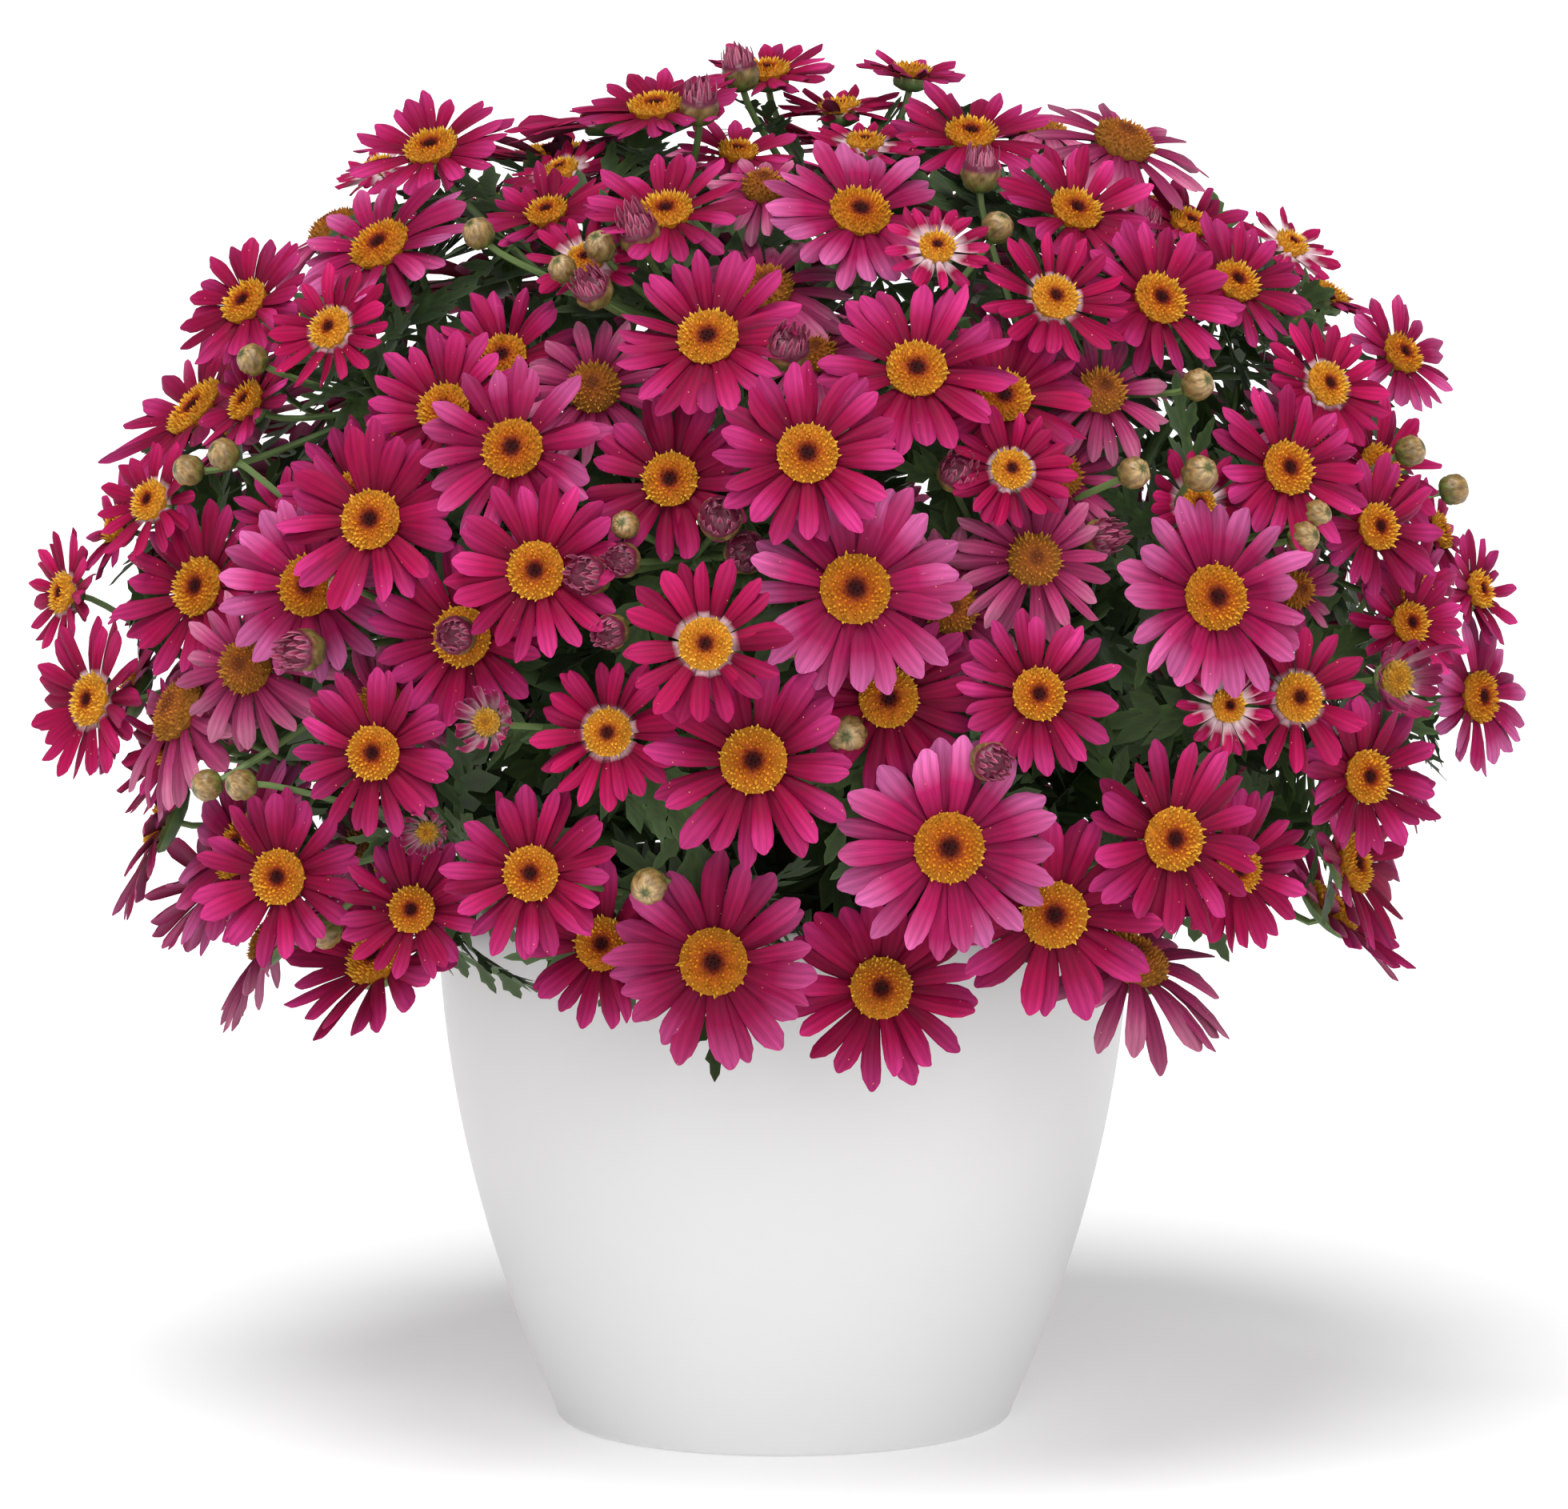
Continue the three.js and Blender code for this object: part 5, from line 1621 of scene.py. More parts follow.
@dataclass
class Stalks:
    """The green parts under each head: a cup of overlapping bracts, and the stalk from it to the fork."""

    disc_share: float = 0.365
    cup_sides: int = 16
    cup_depth: float = 4.2
    cup_rise: tuple = (0, 0.06, 0.3, 0.62, 1.0)
    cup_radii: tuple = (0.16, 0.5, 0.88, 1.0, 0.92)
    cup_tints: tuple = ("#4A6136", "#5F7A45", "#8A8A52")
    cup_seat: float = 0.4
    scallop: float = 0.05
    scallop_rows: float = 9.0
    bract_light: float = 0.16
    stalk_tints: tuple = ("#6A8149", "#4A6136")
    radius: float = 0.95
    sides: int = 6
    steps: int = 10
    leave: float = 9.0
    leave_share: float = 0.3
    arrive: float = 6.0
    foot_radius: float = 1.25
    knot_radii: tuple = (2.3, 2.5, 2.9, 2.2, 1.0)
    knot_span: tuple = (-6, 3)
    knot_sides: int = 8
    knot_tint: str = "#4F683B"
    grain_turn: float = 1.2
    grain_step: float = 3.0

    def cup(self, head: Head, skin: Skin) -> None:
        """Adds the cup: half an ellipse in section, its radius scalloped by the bracts.

        Args:
            head: The head.
            skin: The skin that takes it.
        """
        disc = self.disc_share * head.radius
        rise = np.array(self.cup_rise)
        radius = np.array(self.cup_radii) * disc
        level = -self.cup_depth + rise * self.cup_depth
        turn = turns(self.cup_sides)
        bracts = np.cos(turn * self.cup_sides / 2)
        scallops = 1 + self.scallop * bracts * np.sin(rise[:, None] * self.scallop_rows)
        outward = around(turn, head.side, head.other) * (radius[:, None] * scallops)[..., None]
        points = (head.centre + outward + head.normal * level[:, None, None]).reshape(1, -1, 3)
        tint = np.repeat(stops(rise, (0, 0.6, 1), self.cup_tints), self.cup_sides, 0)
        tint = tint * np.tile(1 + self.bract_light * bracts, len(rise))[:, None]
        skin.add(points, tube_nets(len(rise), self.cup_sides), tint, points - head.centre)

    def carry(self, feet: Array, normals: Array, spray: Spray, skin: Skin) -> None:
        """Adds the stalks of a spray: a smooth curve that leaves each flower squarely and meets at the fork.

        Args:
            feet: Where each flower's stalk starts.
            normals: The way each flower faces.
            spray: The spray, whose fork they meet at.
            skin: What they are added to.
        """
        span = lengths(spray.fork - feet)
        onward = unit(spray.fork - feet)
        leave = np.minimum(self.leave, span * self.leave_share)[:, None]
        ends = np.broadcast_to(spray.fork, feet.shape)
        paths = bezier(feet, feet - normals * leave, ends - onward * self.arrive, ends, self.steps)
        radii = blend(self.radius, self.foot_radius, np.linspace(0, 1, self.steps) ** 2)
        points = tube(paths, radii, self.sides, square_to(normals))
        along = np.linspace(0, 1, self.steps).repeat(self.sides)
        tint = stops(along, (0, 1), self.stalk_tints)
        turn = np.tile(np.arange(self.sides), self.steps) * self.grain_turn
        grain = joined(turn, along * span[:, None], np.arange(len(feet))[:, None] * self.grain_step)
        skin.add(points, tube_nets(self.steps, self.sides), tint, grain)

    def knot(self, spray: Spray, skin: Skin) -> None:
        """Adds the swelling where a spray's stalks meet on their branch.

        Args:
            spray: The spray.
            skin: The skin that takes it.
        """
        at = np.linspace(*self.knot_span, len(self.knot_radii))[:, None]
        path = (spray.fork + spray.axis * at)[None]
        points = tube(path, np.array(self.knot_radii), self.knot_sides, square_to(spray.axis)[None])
        skin.add(points, tube_nets(len(self.knot_radii), self.knot_sides), linear(self.knot_tint), points)

    def raise_up(self, spray: Spray, skin: Skin) -> None:
        """Adds a spray's cups, stalks and knot.

        Args:
            spray: The spray.
            skin: The skin that takes it.
        """
        for head in spray.heads:
            self.cup(head, skin)
        feet = np.array([h.centre - h.normal * (self.cup_depth - self.cup_seat) for h in spray.heads])
        self.carry(feet, np.array([h.normal for h in spray.heads]), spray, skin)
        self.knot(spray, skin)


@dataclass
class Buds:
    """Buds: round, wrapped in papery scales with green keels at the foot. Some open in a brush of rays.

    In bud coordinates the radius at share t from the foot to the tip is r * sin(pi t)^fullness, and each keel
    raises it by relief. The keels are ovals in rows, and each row stands half a keel aside from the last. The
    brush of an opening bud is two rings of blades, the outer one first.
    """

    sides: int = 30
    rings: int = 15
    fullness: float = 0.6
    relief: float = 0.12
    crinkle: float = 0.02
    # Painted shade in the crinkles' hollows and painted light on their bumps.
    crinkle_shade: float = 0.5
    flattened: float = 0.16
    keels: int = 6
    keel_rows: tuple = ((0.12, 0.13), (0.29, 0.15), (0.47, 0.15), (0.64, 0.12))
    keel_half: float = 0.46
    keel_edge: tuple = (0.45, 1.05)
    paper: tuple = ("#30240E", "#6C5230", "#8E6C40", "#B69C6C")
    keel_tints: tuple = ("#3A4A1C", "#76883C")
    mouth_tints: tuple = ("#46501E", "#641434")
    star: float = 0.3
    mouth: float = 0.6
    brush_counts: tuple = (13, 8)
    brush_starts: tuple = (0.76, 0.42)
    brush_rows: tuple = (0, 0.3, 0.6, 0.85, 1)
    brush_half: tuple = (0.8, 1.0, 0.95, 0.6, 0.06)
    brush_width: float = 0.15
    brush_thick: float = 0.06
    brush_tall: tuple = (0.95, 1.45)
    brush_lean: tuple = (0.0, 0.7)
    brush_tints: tuple = ("#9C2450", "#CC7E9A")
    brush_light: tuple = (0.8, 1.2)
    foot: float = 0.96
    stalk: Stalks = field(default_factory=Stalks)

    def facing(self, bud: Bud, spray: Spray, dome: Dome) -> Array:
        """The way a bud points: out of the dome and away from its fork."""
        inward = unit(spray.fork - bud.centre)
        return unit(dome.normal(bud.centre) - inward * 0.5)

    def keel(self, t: Array, turn: Array) -> Array:
        """How far each point lies inside a keel: 1 on its ridge and 0 outside.

        Args:
            t: The share from the foot to the tip.
            turn: The angle round the bud.

        Returns:
            A share for each point.
        """
        inside = np.zeros(t.shape)
        for row, (level, half) in enumerate(self.keel_rows):
            aside = np.mod(turn / TURN * self.keels + 0.5 * row + 0.5, 1) - 0.5
            away = np.hypot(aside / self.keel_half, (t - level) / half)
            inside = np.maximum(inside, 1 - smooth(away, *self.keel_edge))
        return inside

    def wrap(self, bud: Bud, normal: Array, skin: Skin) -> None:
        """Adds one bud's body.

        Args:
            bud: The bud.
            normal: The way the bud points.
            skin: The skin that takes it.
        """
        rng = np.random.default_rng(int(bud.centre[2] * 100))
        t, turn = np.meshgrid(np.linspace(0.02, 0.98, self.rings), turns(self.sides), indexing="ij")
        keel = self.keel(t, turn)
        crinkle = rng.uniform(-1, 1, t.shape)
        body = np.sin(math.pi * t) ** self.fullness
        body = body * (1 + self.relief * (keel - 0.4) + self.crinkle * crinkle)
        level = -np.cos(math.pi * t) * (1 - self.flattened * smooth(t, self.mouth, 1) * bud.pink)
        side = square_to(normal)
        outward = around(turn, side, np.cross(normal, side)) * body[..., None]
        points = bud.centre + (outward + normal * level[..., None]) * bud.radius
        # Painted shade and light: each point is darker where its crinkle sinks it and lighter where it stands
        # out.
        tint = stops(t, (0.08, 0.3, 0.7, 1), self.paper) * (1 + self.crinkle_shade * crinkle)[..., None]
        green = stops(t, (0, 0.5), self.keel_tints)
        tint = blend(tint, green, (keel * (0.95 - 0.8 * smooth(t, 0.25, 0.55)))[..., None])
        pointed = self.star * (1 + 0.3 * np.cos(turn * self.keels))
        mouth = smooth(body, pointed, 0.7 * pointed) * smooth(t, 0.5, 0.6)
        mouth = np.where(bud.pink, smooth(t, self.mouth, self.mouth + 0.04), mouth)
        tint = blend(tint, linear(self.mouth_tints[bud.pink]), mouth[..., None])
        grain = joined(turn * bud.radius, t * 3 * bud.radius, bud.radius)
        skin.add(
            points.reshape(1, -1, 3), tube_nets(self.rings, self.sides),
            tint.reshape(1, -1, 3), grain.reshape(1, -1, 3),
        )

    def brush(self, bud: Bud, normal: Array, skin: Skin) -> None:
        """Adds the folded rays that stand out of an opening bud: two rings of slim pointed blades.

        Args:
            bud: The bud.
            normal: The way the bud points.
            skin: The skin that takes it.
        """
        rng = np.random.default_rng(int(bud.centre[2] * 100) + 1)
        ring = np.repeat([0, 1], self.brush_counts)
        count = len(ring)
        turn = np.arange(count) + rng.uniform(-0.25, 0.25, count)
        turn = turn * TURN / np.take(self.brush_counts, ring)
        side = square_to(normal)
        out = around(turn, side, np.cross(normal, side))
        aside = np.cross(normal, out)
        s = np.array(self.brush_rows)
        tall = rng.uniform(*self.brush_tall, (count, 1)) * (1 + 0.1 * ring[:, None])
        lean = rng.uniform(*self.brush_lean, (count, 1))
        start = np.take(self.brush_starts, ring)[:, None]
        away = start + lean * s - (0.2 + 0.4 * lean) * s * s
        up = 0.25 + tall * s
        middle = out[:, None] * away[..., None] + normal * up[..., None]
        half = self.brush_width * np.array(self.brush_half) * rng.uniform(0.85, 1.15, (count, 1))
        thick = self.brush_thick * (1 - 0.6 * s)
        across, over = aside[:, None] * half[..., None], out[:, None] * thick[..., None]
        corners = [middle + across, middle + over, middle - across, middle - over]
        points = bud.centre + bud.radius * np.stack(corners, 2)
        tone = rng.uniform(*self.brush_light, (count, 1, 1, 1))
        edge = np.array([1.0, 0.0, 1.0, 0.0])[None, None, :, None]
        tint = blend(linear(self.brush_tints[0]), linear(self.brush_tints[1]), edge)
        tint = tint * tone * (0.7 + 0.4 * s)[None, :, None, None]
        blade = np.arange(count)[:, None, None]
        grain = joined(edge[..., 0] + 5.0 * blade, s[None, :, None] * bud.radius, turn[:, None, None])
        skin.add(
            points.reshape(count, -1, 3), tube_nets(len(s), 4),
            np.broadcast_to(tint, points.shape).reshape(count, -1, 3), grain.reshape(count, -1, 3),
        )

    def set_on(self, spray: Spray, dome: Dome, bodies: Skin, stalks: Skin) -> None:
        """Adds a spray's buds and their stalks.

        Args:
            spray: The spray.
            dome: The dome of flowers.
            bodies: What the buds are added to.
            stalks: What the stalks are added to.
        """
        if not spray.buds:
            return
        normals = np.array([self.facing(bud, spray, dome) for bud in spray.buds])
        for bud, normal in zip(spray.buds, normals):
            self.wrap(bud, normal, bodies)
            if bud.pink:
                self.brush(bud, normal, bodies)
        feet = np.array([bud.centre - n * bud.radius * self.foot for bud, n in zip(spray.buds, normals)])
        self.stalk.carry(feet, normals, spray, stalks)


# ---- leaves and stems


@dataclass(frozen=True)
class LeafCut:
    """How finely a leaf is cut: where its lobes leave the rib, and how their outlines run.

    All values are shares of the leaf's length, but lean is in degrees from the rib and the half widths of the
    lobes are shares of their widest.
    """

    at: tuple
    length: tuple
    lean: tuple
    rows: tuple
    half: tuple
    rib_rows: tuple
    rib_half: tuple


FINE_CUT = LeafCut(
    (0.28, 0.46, 0.64), (0.25, 0.34, 0.28), (50, 42, 34),
    (0, 0.3, 0.58, 0.66, 0.84, 1), (0.75, 0.8, 1.35, 0.75, 0.62, 0.04),
    (0, 0.28, 0.5, 0.82), (0.016, 0.03, 0.055, 0.04),
)
PLAIN_CUT = LeafCut(
    (0.3, 0.47, 0.64), (0.26, 0.34, 0.28), (50, 42, 34),
    (0, 0.5, 0.66, 1), (0.75, 1.25, 0.9, 0.04),
    (0, 0.4, 0.82), (0.016, 0.05, 0.04),
)


@dataclass
class Foliage:
    """Deeply cut leaves: a slim rib with pointed lobes in pairs and one at its end.

    A leaf is drawn flat, in shares of its length along and across, and then bent: a point's height falls by
    arch * along^2 and rises by channel * |across|. Each lobe and the rib is a thin four-cornered blade, which
    is thickest on its vein.
    """

    thickness: float = 0.5
    arch: float = 0.16
    channel: float = 0.3
    lobe_width: float = 0.05
    width_spread: tuple = (0.8, 1.15)
    at_jitter: float = 0.012
    lean_jitter: float = 7.0
    length_spread: tuple = (0.75, 1.2)
    end_lobe: float = 0.28
    end_at: float = 0.76
    end_jitter: float = 8.0
    greens: tuple = ("#34481A", "#3A5028")
    tone_spread: tuple = (0.75, 1.25)
    rib_light: float = 1.5
    more: int = 1270
    spread: int = 900
    tries: int = 9
    length: tuple = (28, 48)
    deep_length: tuple = (40, 60)
    leader_draws: int = 6
    core_draws: int = 24
    root_shares: tuple = (0.1, 0.75, 1.0)
    outward_share: float = 0.35
    random_share: float = 0.9
    upright_share: float = 0.3
    upright_jitter: float = 0.4
    room: float = 2.6
    pot_room: float = 3.0
    before: float = 45.0
    shown_from: float = -0.1
    skirt_level: float = 200.0
    skirt_reach: float = 0.16
    crown_reach: float = 0.02
    sight_sides: int = 12
    sight_tilts: tuple = (7.0, 28.0)
    sight_cell: float = 5.0
    sight_cells: int = 128
    face_turns: int = 20
    face_shares: tuple = (0.2, 0.4, 0.6, 0.8, 0.95)
    test_points: tuple = (
        (0.3, 0), (0.5, 0.22), (0.5, -0.22), (0.75, 0.2), (0.75, -0.2), (0.75, 0), (1, 0),
    )
    seed: int = 77

    def blade(
        self, along: Array, across: Array, lean: Array, length: Array, half: Array, rows: tuple
    ) -> Array:
        """Blades drawn flat: left edge, vein above, right edge and vein below at each row.

        Args:
            along: Where each blade starts along the leaf, copies by blades.
            across: Where it starts across.
            lean: The way it heads, from the leaf's own heading.
            length: Its length.
            half: Its half width at each row.
            rows: Shares of its length.

        Returns:
            Copies by blades by points by three: shares along, across, and up in millimetres.
        """
        s = np.array(rows)
        reach = length[..., None] * s
        cos, sin = np.cos(lean)[..., None], np.sin(lean)[..., None]
        x, y = along[..., None] + reach * cos, across[..., None] + reach * sin
        thick = 0.5 * self.thickness * (1 - 0.7 * s)
        left = joined(x - half * sin, y + half * cos, 0.0)
        right = joined(x + half * sin, y - half * cos, 0.0)
        above, below = joined(x, y, thick), joined(x, y, -thick)
        return np.stack([right, above, left, below], -2).reshape(*x.shape[:2], -1, 3)

    def grow(self, leaves: list[Leaf], cut: LeafCut, skin: Skin) -> None:
        """Adds a group of leaves, each with lobes of its own lengths and lean.

        Args:
            leaves: The leaves.
            cut: How finely they are cut.
            skin: What they are added to.
        """
        if not leaves:
            return
        rng = np.random.default_rng(self.seed + len(leaves))
        count = len(leaves)
        at = np.tile(cut.at, 2)
        pair = np.repeat([1, -1], len(cut.at))
        shape = (count, len(at))
        along = at + rng.normal(0, self.at_jitter, shape)
        lean = np.radians(np.tile(cut.lean, 2) * pair + rng.normal(0, self.lean_jitter, shape))
        length = np.tile(cut.length, 2) * rng.uniform(*self.length_spread, shape)
        along = np.column_stack([along, np.full(count, self.end_at)])
        lean = np.column_stack([lean, np.radians(rng.normal(0, self.end_jitter, count))])
        length = np.column_stack([length, np.full(count, self.end_lobe)])
        half = self.lobe_width * np.array(cut.half) * rng.uniform(*self.width_spread, (*length.shape, 1))
        lobes = self.blade(along, 0 * along, lean, length, half, cut.rows)
        none = np.zeros((count, 1))
        half = np.broadcast_to(cut.rib_half, (count, 1, len(cut.rib_rows)))
        ribs = self.blade(none, none, none, none + 1, half, cut.rib_rows)
        tone = rng.uniform(*self.tone_spread, (count, 1, 1))
        blue = rng.uniform(0, 1, (count, 1, 1))
        self.bend(leaves, lobes, cut.rows, tone, blue, skin)
        self.bend(leaves, ribs, cut.rib_rows, tone * self.rib_light, blue, skin)

    def leaf_out(self, own: list[Leaf], more: list[Leaf], dome: Dome, skin: Skin) -> None:
        """Adds a stem's leaves: finely cut where they reach the light, and plainer inside the crown.

        Args:
            own: The leaves that the solids have too.
            more: The leaves that fill the crown.
            dome: The dome of flowers.
            skin: The skin that takes it.
        """
        tips = np.array([leaf.root + leaf.heading * leaf.length for leaf in more])
        shown = dome.value(tips) > self.shown_from
        self.grow(own + [leaf for leaf, out in zip(more, shown) if out], FINE_CUT, skin)
        self.grow([leaf for leaf, out in zip(more, shown) if not out], PLAIN_CUT, skin)

    def bend(
        self, leaves: list[Leaf], flat: Array, rows: tuple, tone: Array, blue: Array, skin: Skin
    ) -> None:
        """Bends flat blades into their leaves and adds them.

        Args:
            leaves: The leaves.
            flat: Their blades, as blade gives them.
            rows: Shares of a blade's length.
            tone: How light each leaf is.
            blue: How far each leaf's green lies towards the bluer one.
            skin: What they are added to.
        """
        count, blades, size = flat.shape[:3]
        flat = flat.reshape(count, -1, 3)
        along, across, up = flat[..., 0], flat[..., 1], flat[..., 2]
        length = np.array([leaf.length for leaf in leaves])[:, None]
        rise = up + (self.channel * np.abs(across) - self.arch * along * along) * length
        root, heading, side, above = (
            np.array([getattr(leaf, part) for leaf in leaves])[:, None]
            for part in ("root", "heading", "side", "up")
        )
        points = (
            root + heading * (along * length)[..., None] + side * (across * length)[..., None]
            + above * rise[..., None]
        )
        edge = np.tile(np.tile([1.0, 0.0, 1.0, 0.3], len(rows)), blades)[None, :, None]
        green = blend(linear(self.greens[0]), linear(self.greens[1]), blue)
        tint = green * (0.8 + 0.4 * edge) * tone
        grain = joined(across * length, along * length, length)
        skin.add(
            points.reshape(-1, size, 3), tube_nets(len(rows), 4),
            np.broadcast_to(tint, points.shape).reshape(-1, size, 3), grain.reshape(-1, size, 3),
        )

    def sight_lines(self, points: Array) -> Array:
        """The line of sight that each point lies on, from a ring of sides low and high round the plant.

        From a side at angle a, right is (cos a, sin a, 0), and up stands square to it and to the line of
        sight. A line is a square cell of the net that right and up span.

        Args:
            points: Any number of points, taken from the middle of the dome's widest level.

        Returns:
            For each point, the number of its line from every side.
        """
        lines = []
        for tilt in np.radians(self.sight_tilts):
            angle = turns(self.sight_sides)
            right = circle(1.0, angle, 0.0)
            toward = joined(np.sin(angle), -np.cos(angle), math.tan(tilt)) * math.cos(tilt)
            for across, up in zip(right, np.cross(toward, right)):
                column, row = (
                    np.floor(points @ way / self.sight_cell).astype(int) + self.sight_cells // 2
                    for way in (across, up)
                )
                lines.append((len(lines) * self.sight_cells + row) * self.sight_cells + column)
        return np.stack(lines, -1)

    def thicken(self, planting: Planting, samples: Array, usual: Array, spare: Array) -> list[int]:
        """Picks the spare leaves that close most lines of sight right through the plant, one after another.

        Args:
            planting: The plan.
            samples: Leaves by points by three: where each leaf is.
            usual: The leaves that grow in any case.
            spare: The leaves to pick from.

        Returns:
            The picked leaves.
        """
        middle = vector(0, 0, planting.dome.level)
        closed = np.zeros(self.sight_sides * len(self.sight_tilts) * self.sight_cells ** 2, bool)
        for head in planting.heads:
            ring = around(turns(self.face_turns), head.side, head.other) * head.radius
            for share in self.face_shares:
                closed[self.sight_lines(head.centre - middle + ring * share)] = True
        lines = self.sight_lines(samples - middle).reshape(len(samples), -1)
        closed[lines[usual]] = True
        picked = []
        for _ in range(self.more - len(usual)):
            gains = np.count_nonzero(~closed[lines[spare]], axis=1)
            best = int(spare[np.argmax(gains)])
            closed[lines[best]] = True
            picked.append(best)
        return picked

    def fill(self, planting: Planting) -> list[list[Leaf]]:
        """More leaves for each stem, rooted on its branches and stalks where they stand clear of the flowers.

        Most are spread at random, and the rest grow where the plant could still be seen through.

        Args:
            planting: The plan.

        Returns:
            A list of leaves for each stem.
        """
        rng = np.random.default_rng(self.seed)
        pieces = []
        for number, stem in enumerate(planting.stems):
            draws = self.core_draws if number == planting.outer_stems else self.leader_draws
            pieces += [(number, stem.crotch, stem.top, True)] * draws
            for spray in stem.sprays:
                pieces.append((number, spray.start, spray.seat, False))
                pieces += [(number, spray.fork, head.centre, False) for head in spray.heads]
        pick = rng.integers(0, len(pieces), self.more * self.tries)
        start, end, deep = (np.array([pieces[k][part] for k in pick]) for part in (1, 2, 3))
        least, most, deepest = self.root_shares
        share = rng.uniform(least, np.where(deep, deepest, most))[:, None]
        root = blend(start, end, share)
        outward = planting.dome.normal(root)
        heading = outward * self.outward_share + unit(rng.normal(0, 1, root.shape)) * self.random_share
        heading = unit(heading)
        jitter = rng.uniform(-self.upright_jitter, self.upright_jitter, root.shape)
        upright = vector(0, 0, self.upright_share) + outward + jitter
        side = unit(np.cross(heading, upright))
        up = np.cross(side, heading)
        drawn = [rng.uniform(*ends, len(pick)) for ends in (self.deep_length, self.length)]
        length = np.where(deep, *drawn)
        clear = np.ones(len(pick), bool)
        skirt = np.where(root[:, 2] < self.skirt_level, self.skirt_reach, self.crown_reach)
        pot_wall = planting.pot_rim_radius + planting.pot_room
        samples = []
        for along, across in self.test_points:
            reach = root + heading * (along * length)[:, None] + side * (across * length)[:, None]
            reach = reach - up * (self.arch * along * along * length)[:, None]
            samples.append(reach)
            clear &= planting.dome.value(reach) < skirt
            above = reach[:, 2] > planting.pot_height + self.pot_room
            clear &= above | (np.hypot(reach[:, 0], reach[:, 1]) > pot_wall)
            for head in planting.heads:
                height, away = head.spans(reach)
                clear &= (height < -self.room) | (height > self.before) | (away > head.radius)
        able = np.flatnonzero(clear)
        usual, spare = able[:self.spread], able[self.spread:]
        chosen = [*usual, *self.thicken(planting, np.stack(samples, 1), usual, spare)]
        grown: list[list[Leaf]] = [[] for _ in planting.stems]
        for k in chosen:
            grown[pieces[pick[k]][0]].append(Leaf(root[k], heading[k], side[k], up[k], length[k]))
        LOG.info("leaves added: %d", len(chosen))
        return grown


@dataclass
class Stems:
    """The leafy stems: a leader out of the soil, woody at its foot, and a green branch to each spray."""

    depth: float = 24.0
    collar: float = 8.0
    radius: float = 4.2
    top_share: float = 0.7
    branch_radius: float = 2.3
    tip_radius: float = 1.9
    gap: float = 0.3
    sides: int = 10
    rings: int = 22
    narrowing: tuple = (1, 0.95)
    knot: float = 0.05
    knot_spacing: float = 11.0
    tints: tuple = ("#4A3B28", "#5A5034", "#4B5F36", "#55703F")
    grain_turn: float = 2.5
    branch_sides: int = 8
    branch_rings: int = 8
    sag: float = 0.03
    branch_tints: tuple = ("#4B5F36", "#587341")
    branch_grain: tuple = (1.8, 5.0)

    def rise(self, stem: Stem, skin: Skin) -> None:
        """Adds one stem: its leader, along straight runs with eased corners, and its branches.

        Args:
            stem: The stem.
            skin: The skin that takes it.
        """
        bottom = stem.foot - vector(0, 0, self.depth)
        collar = stem.foot + vector(0, 0, self.collar)
        marks = np.array([bottom, collar, stem.crotch, stem.top])
        runs = np.concatenate([[0], np.cumsum(lengths(np.diff(marks, axis=0)))])
        at = np.linspace(0, runs[-1], self.rings)
        path = np.stack([np.interp(at, runs, marks[:, k]) for k in range(3)], -1)
        eased = path.copy()
        eased[1:-1] = (path[:-2] + 2 * path[1:-1] + path[2:]) / 4
        radii = self.radius * np.interp(at / runs[-1], (0, 0.35, 1), (*self.narrowing, self.top_share))
        knots = 1 + self.knot * np.sin(at / self.knot_spacing) ** 6
        points = tube(eased[None], radii * knots, self.sides, vector(1, 0, 0)[None])
        level = (at / runs[-1]).repeat(self.sides)
        tint = stops(level, (0, 0.25, 0.6, 1), self.tints)
        turn = np.tile(np.arange(self.sides), len(at)) * self.grain_turn
        grain = joined(turn, at.repeat(self.sides), 0.0)
        skin.add(points, tube_nets(len(at), self.sides), tint, grain)
        if stem.sprays:
            self.branch(stem, skin)

    def branch(self, stem: Stem, skin: Skin) -> None:
        """Adds a stem's branches: each sags by a half wave and narrows to its spray's seat.

        Args:
            stem: The stem.
            skin: The skin that takes it.
        """
        start = np.array([spray.start for spray in stem.sprays])
        end = np.array([spray.seat - spray.axis * self.gap for spray in stem.sprays])
        span = lengths(end - start)[:, None]
        share = np.linspace(0, 1, self.branch_rings)
        paths = blend(start[:, None], end[:, None], share[None, :, None])
        paths[..., 2] += -span * self.sag * np.sin(share * math.pi)
        radii = blend(self.branch_radius, self.tip_radius, share)
        points = tube(paths, radii, self.branch_sides, square_to(unit(end - start)))
        along = share.repeat(self.branch_sides)
        turning, step = self.branch_grain
        turn = np.tile(np.arange(self.branch_sides), self.branch_rings) * turning
        grain = joined(turn, along * span, np.arange(len(start))[:, None] * step)
        nets = tube_nets(self.branch_rings, self.branch_sides)
        skin.add(points, nets, stops(along, (0, 1), self.branch_tints), grain)


# ---- the planter and its soil


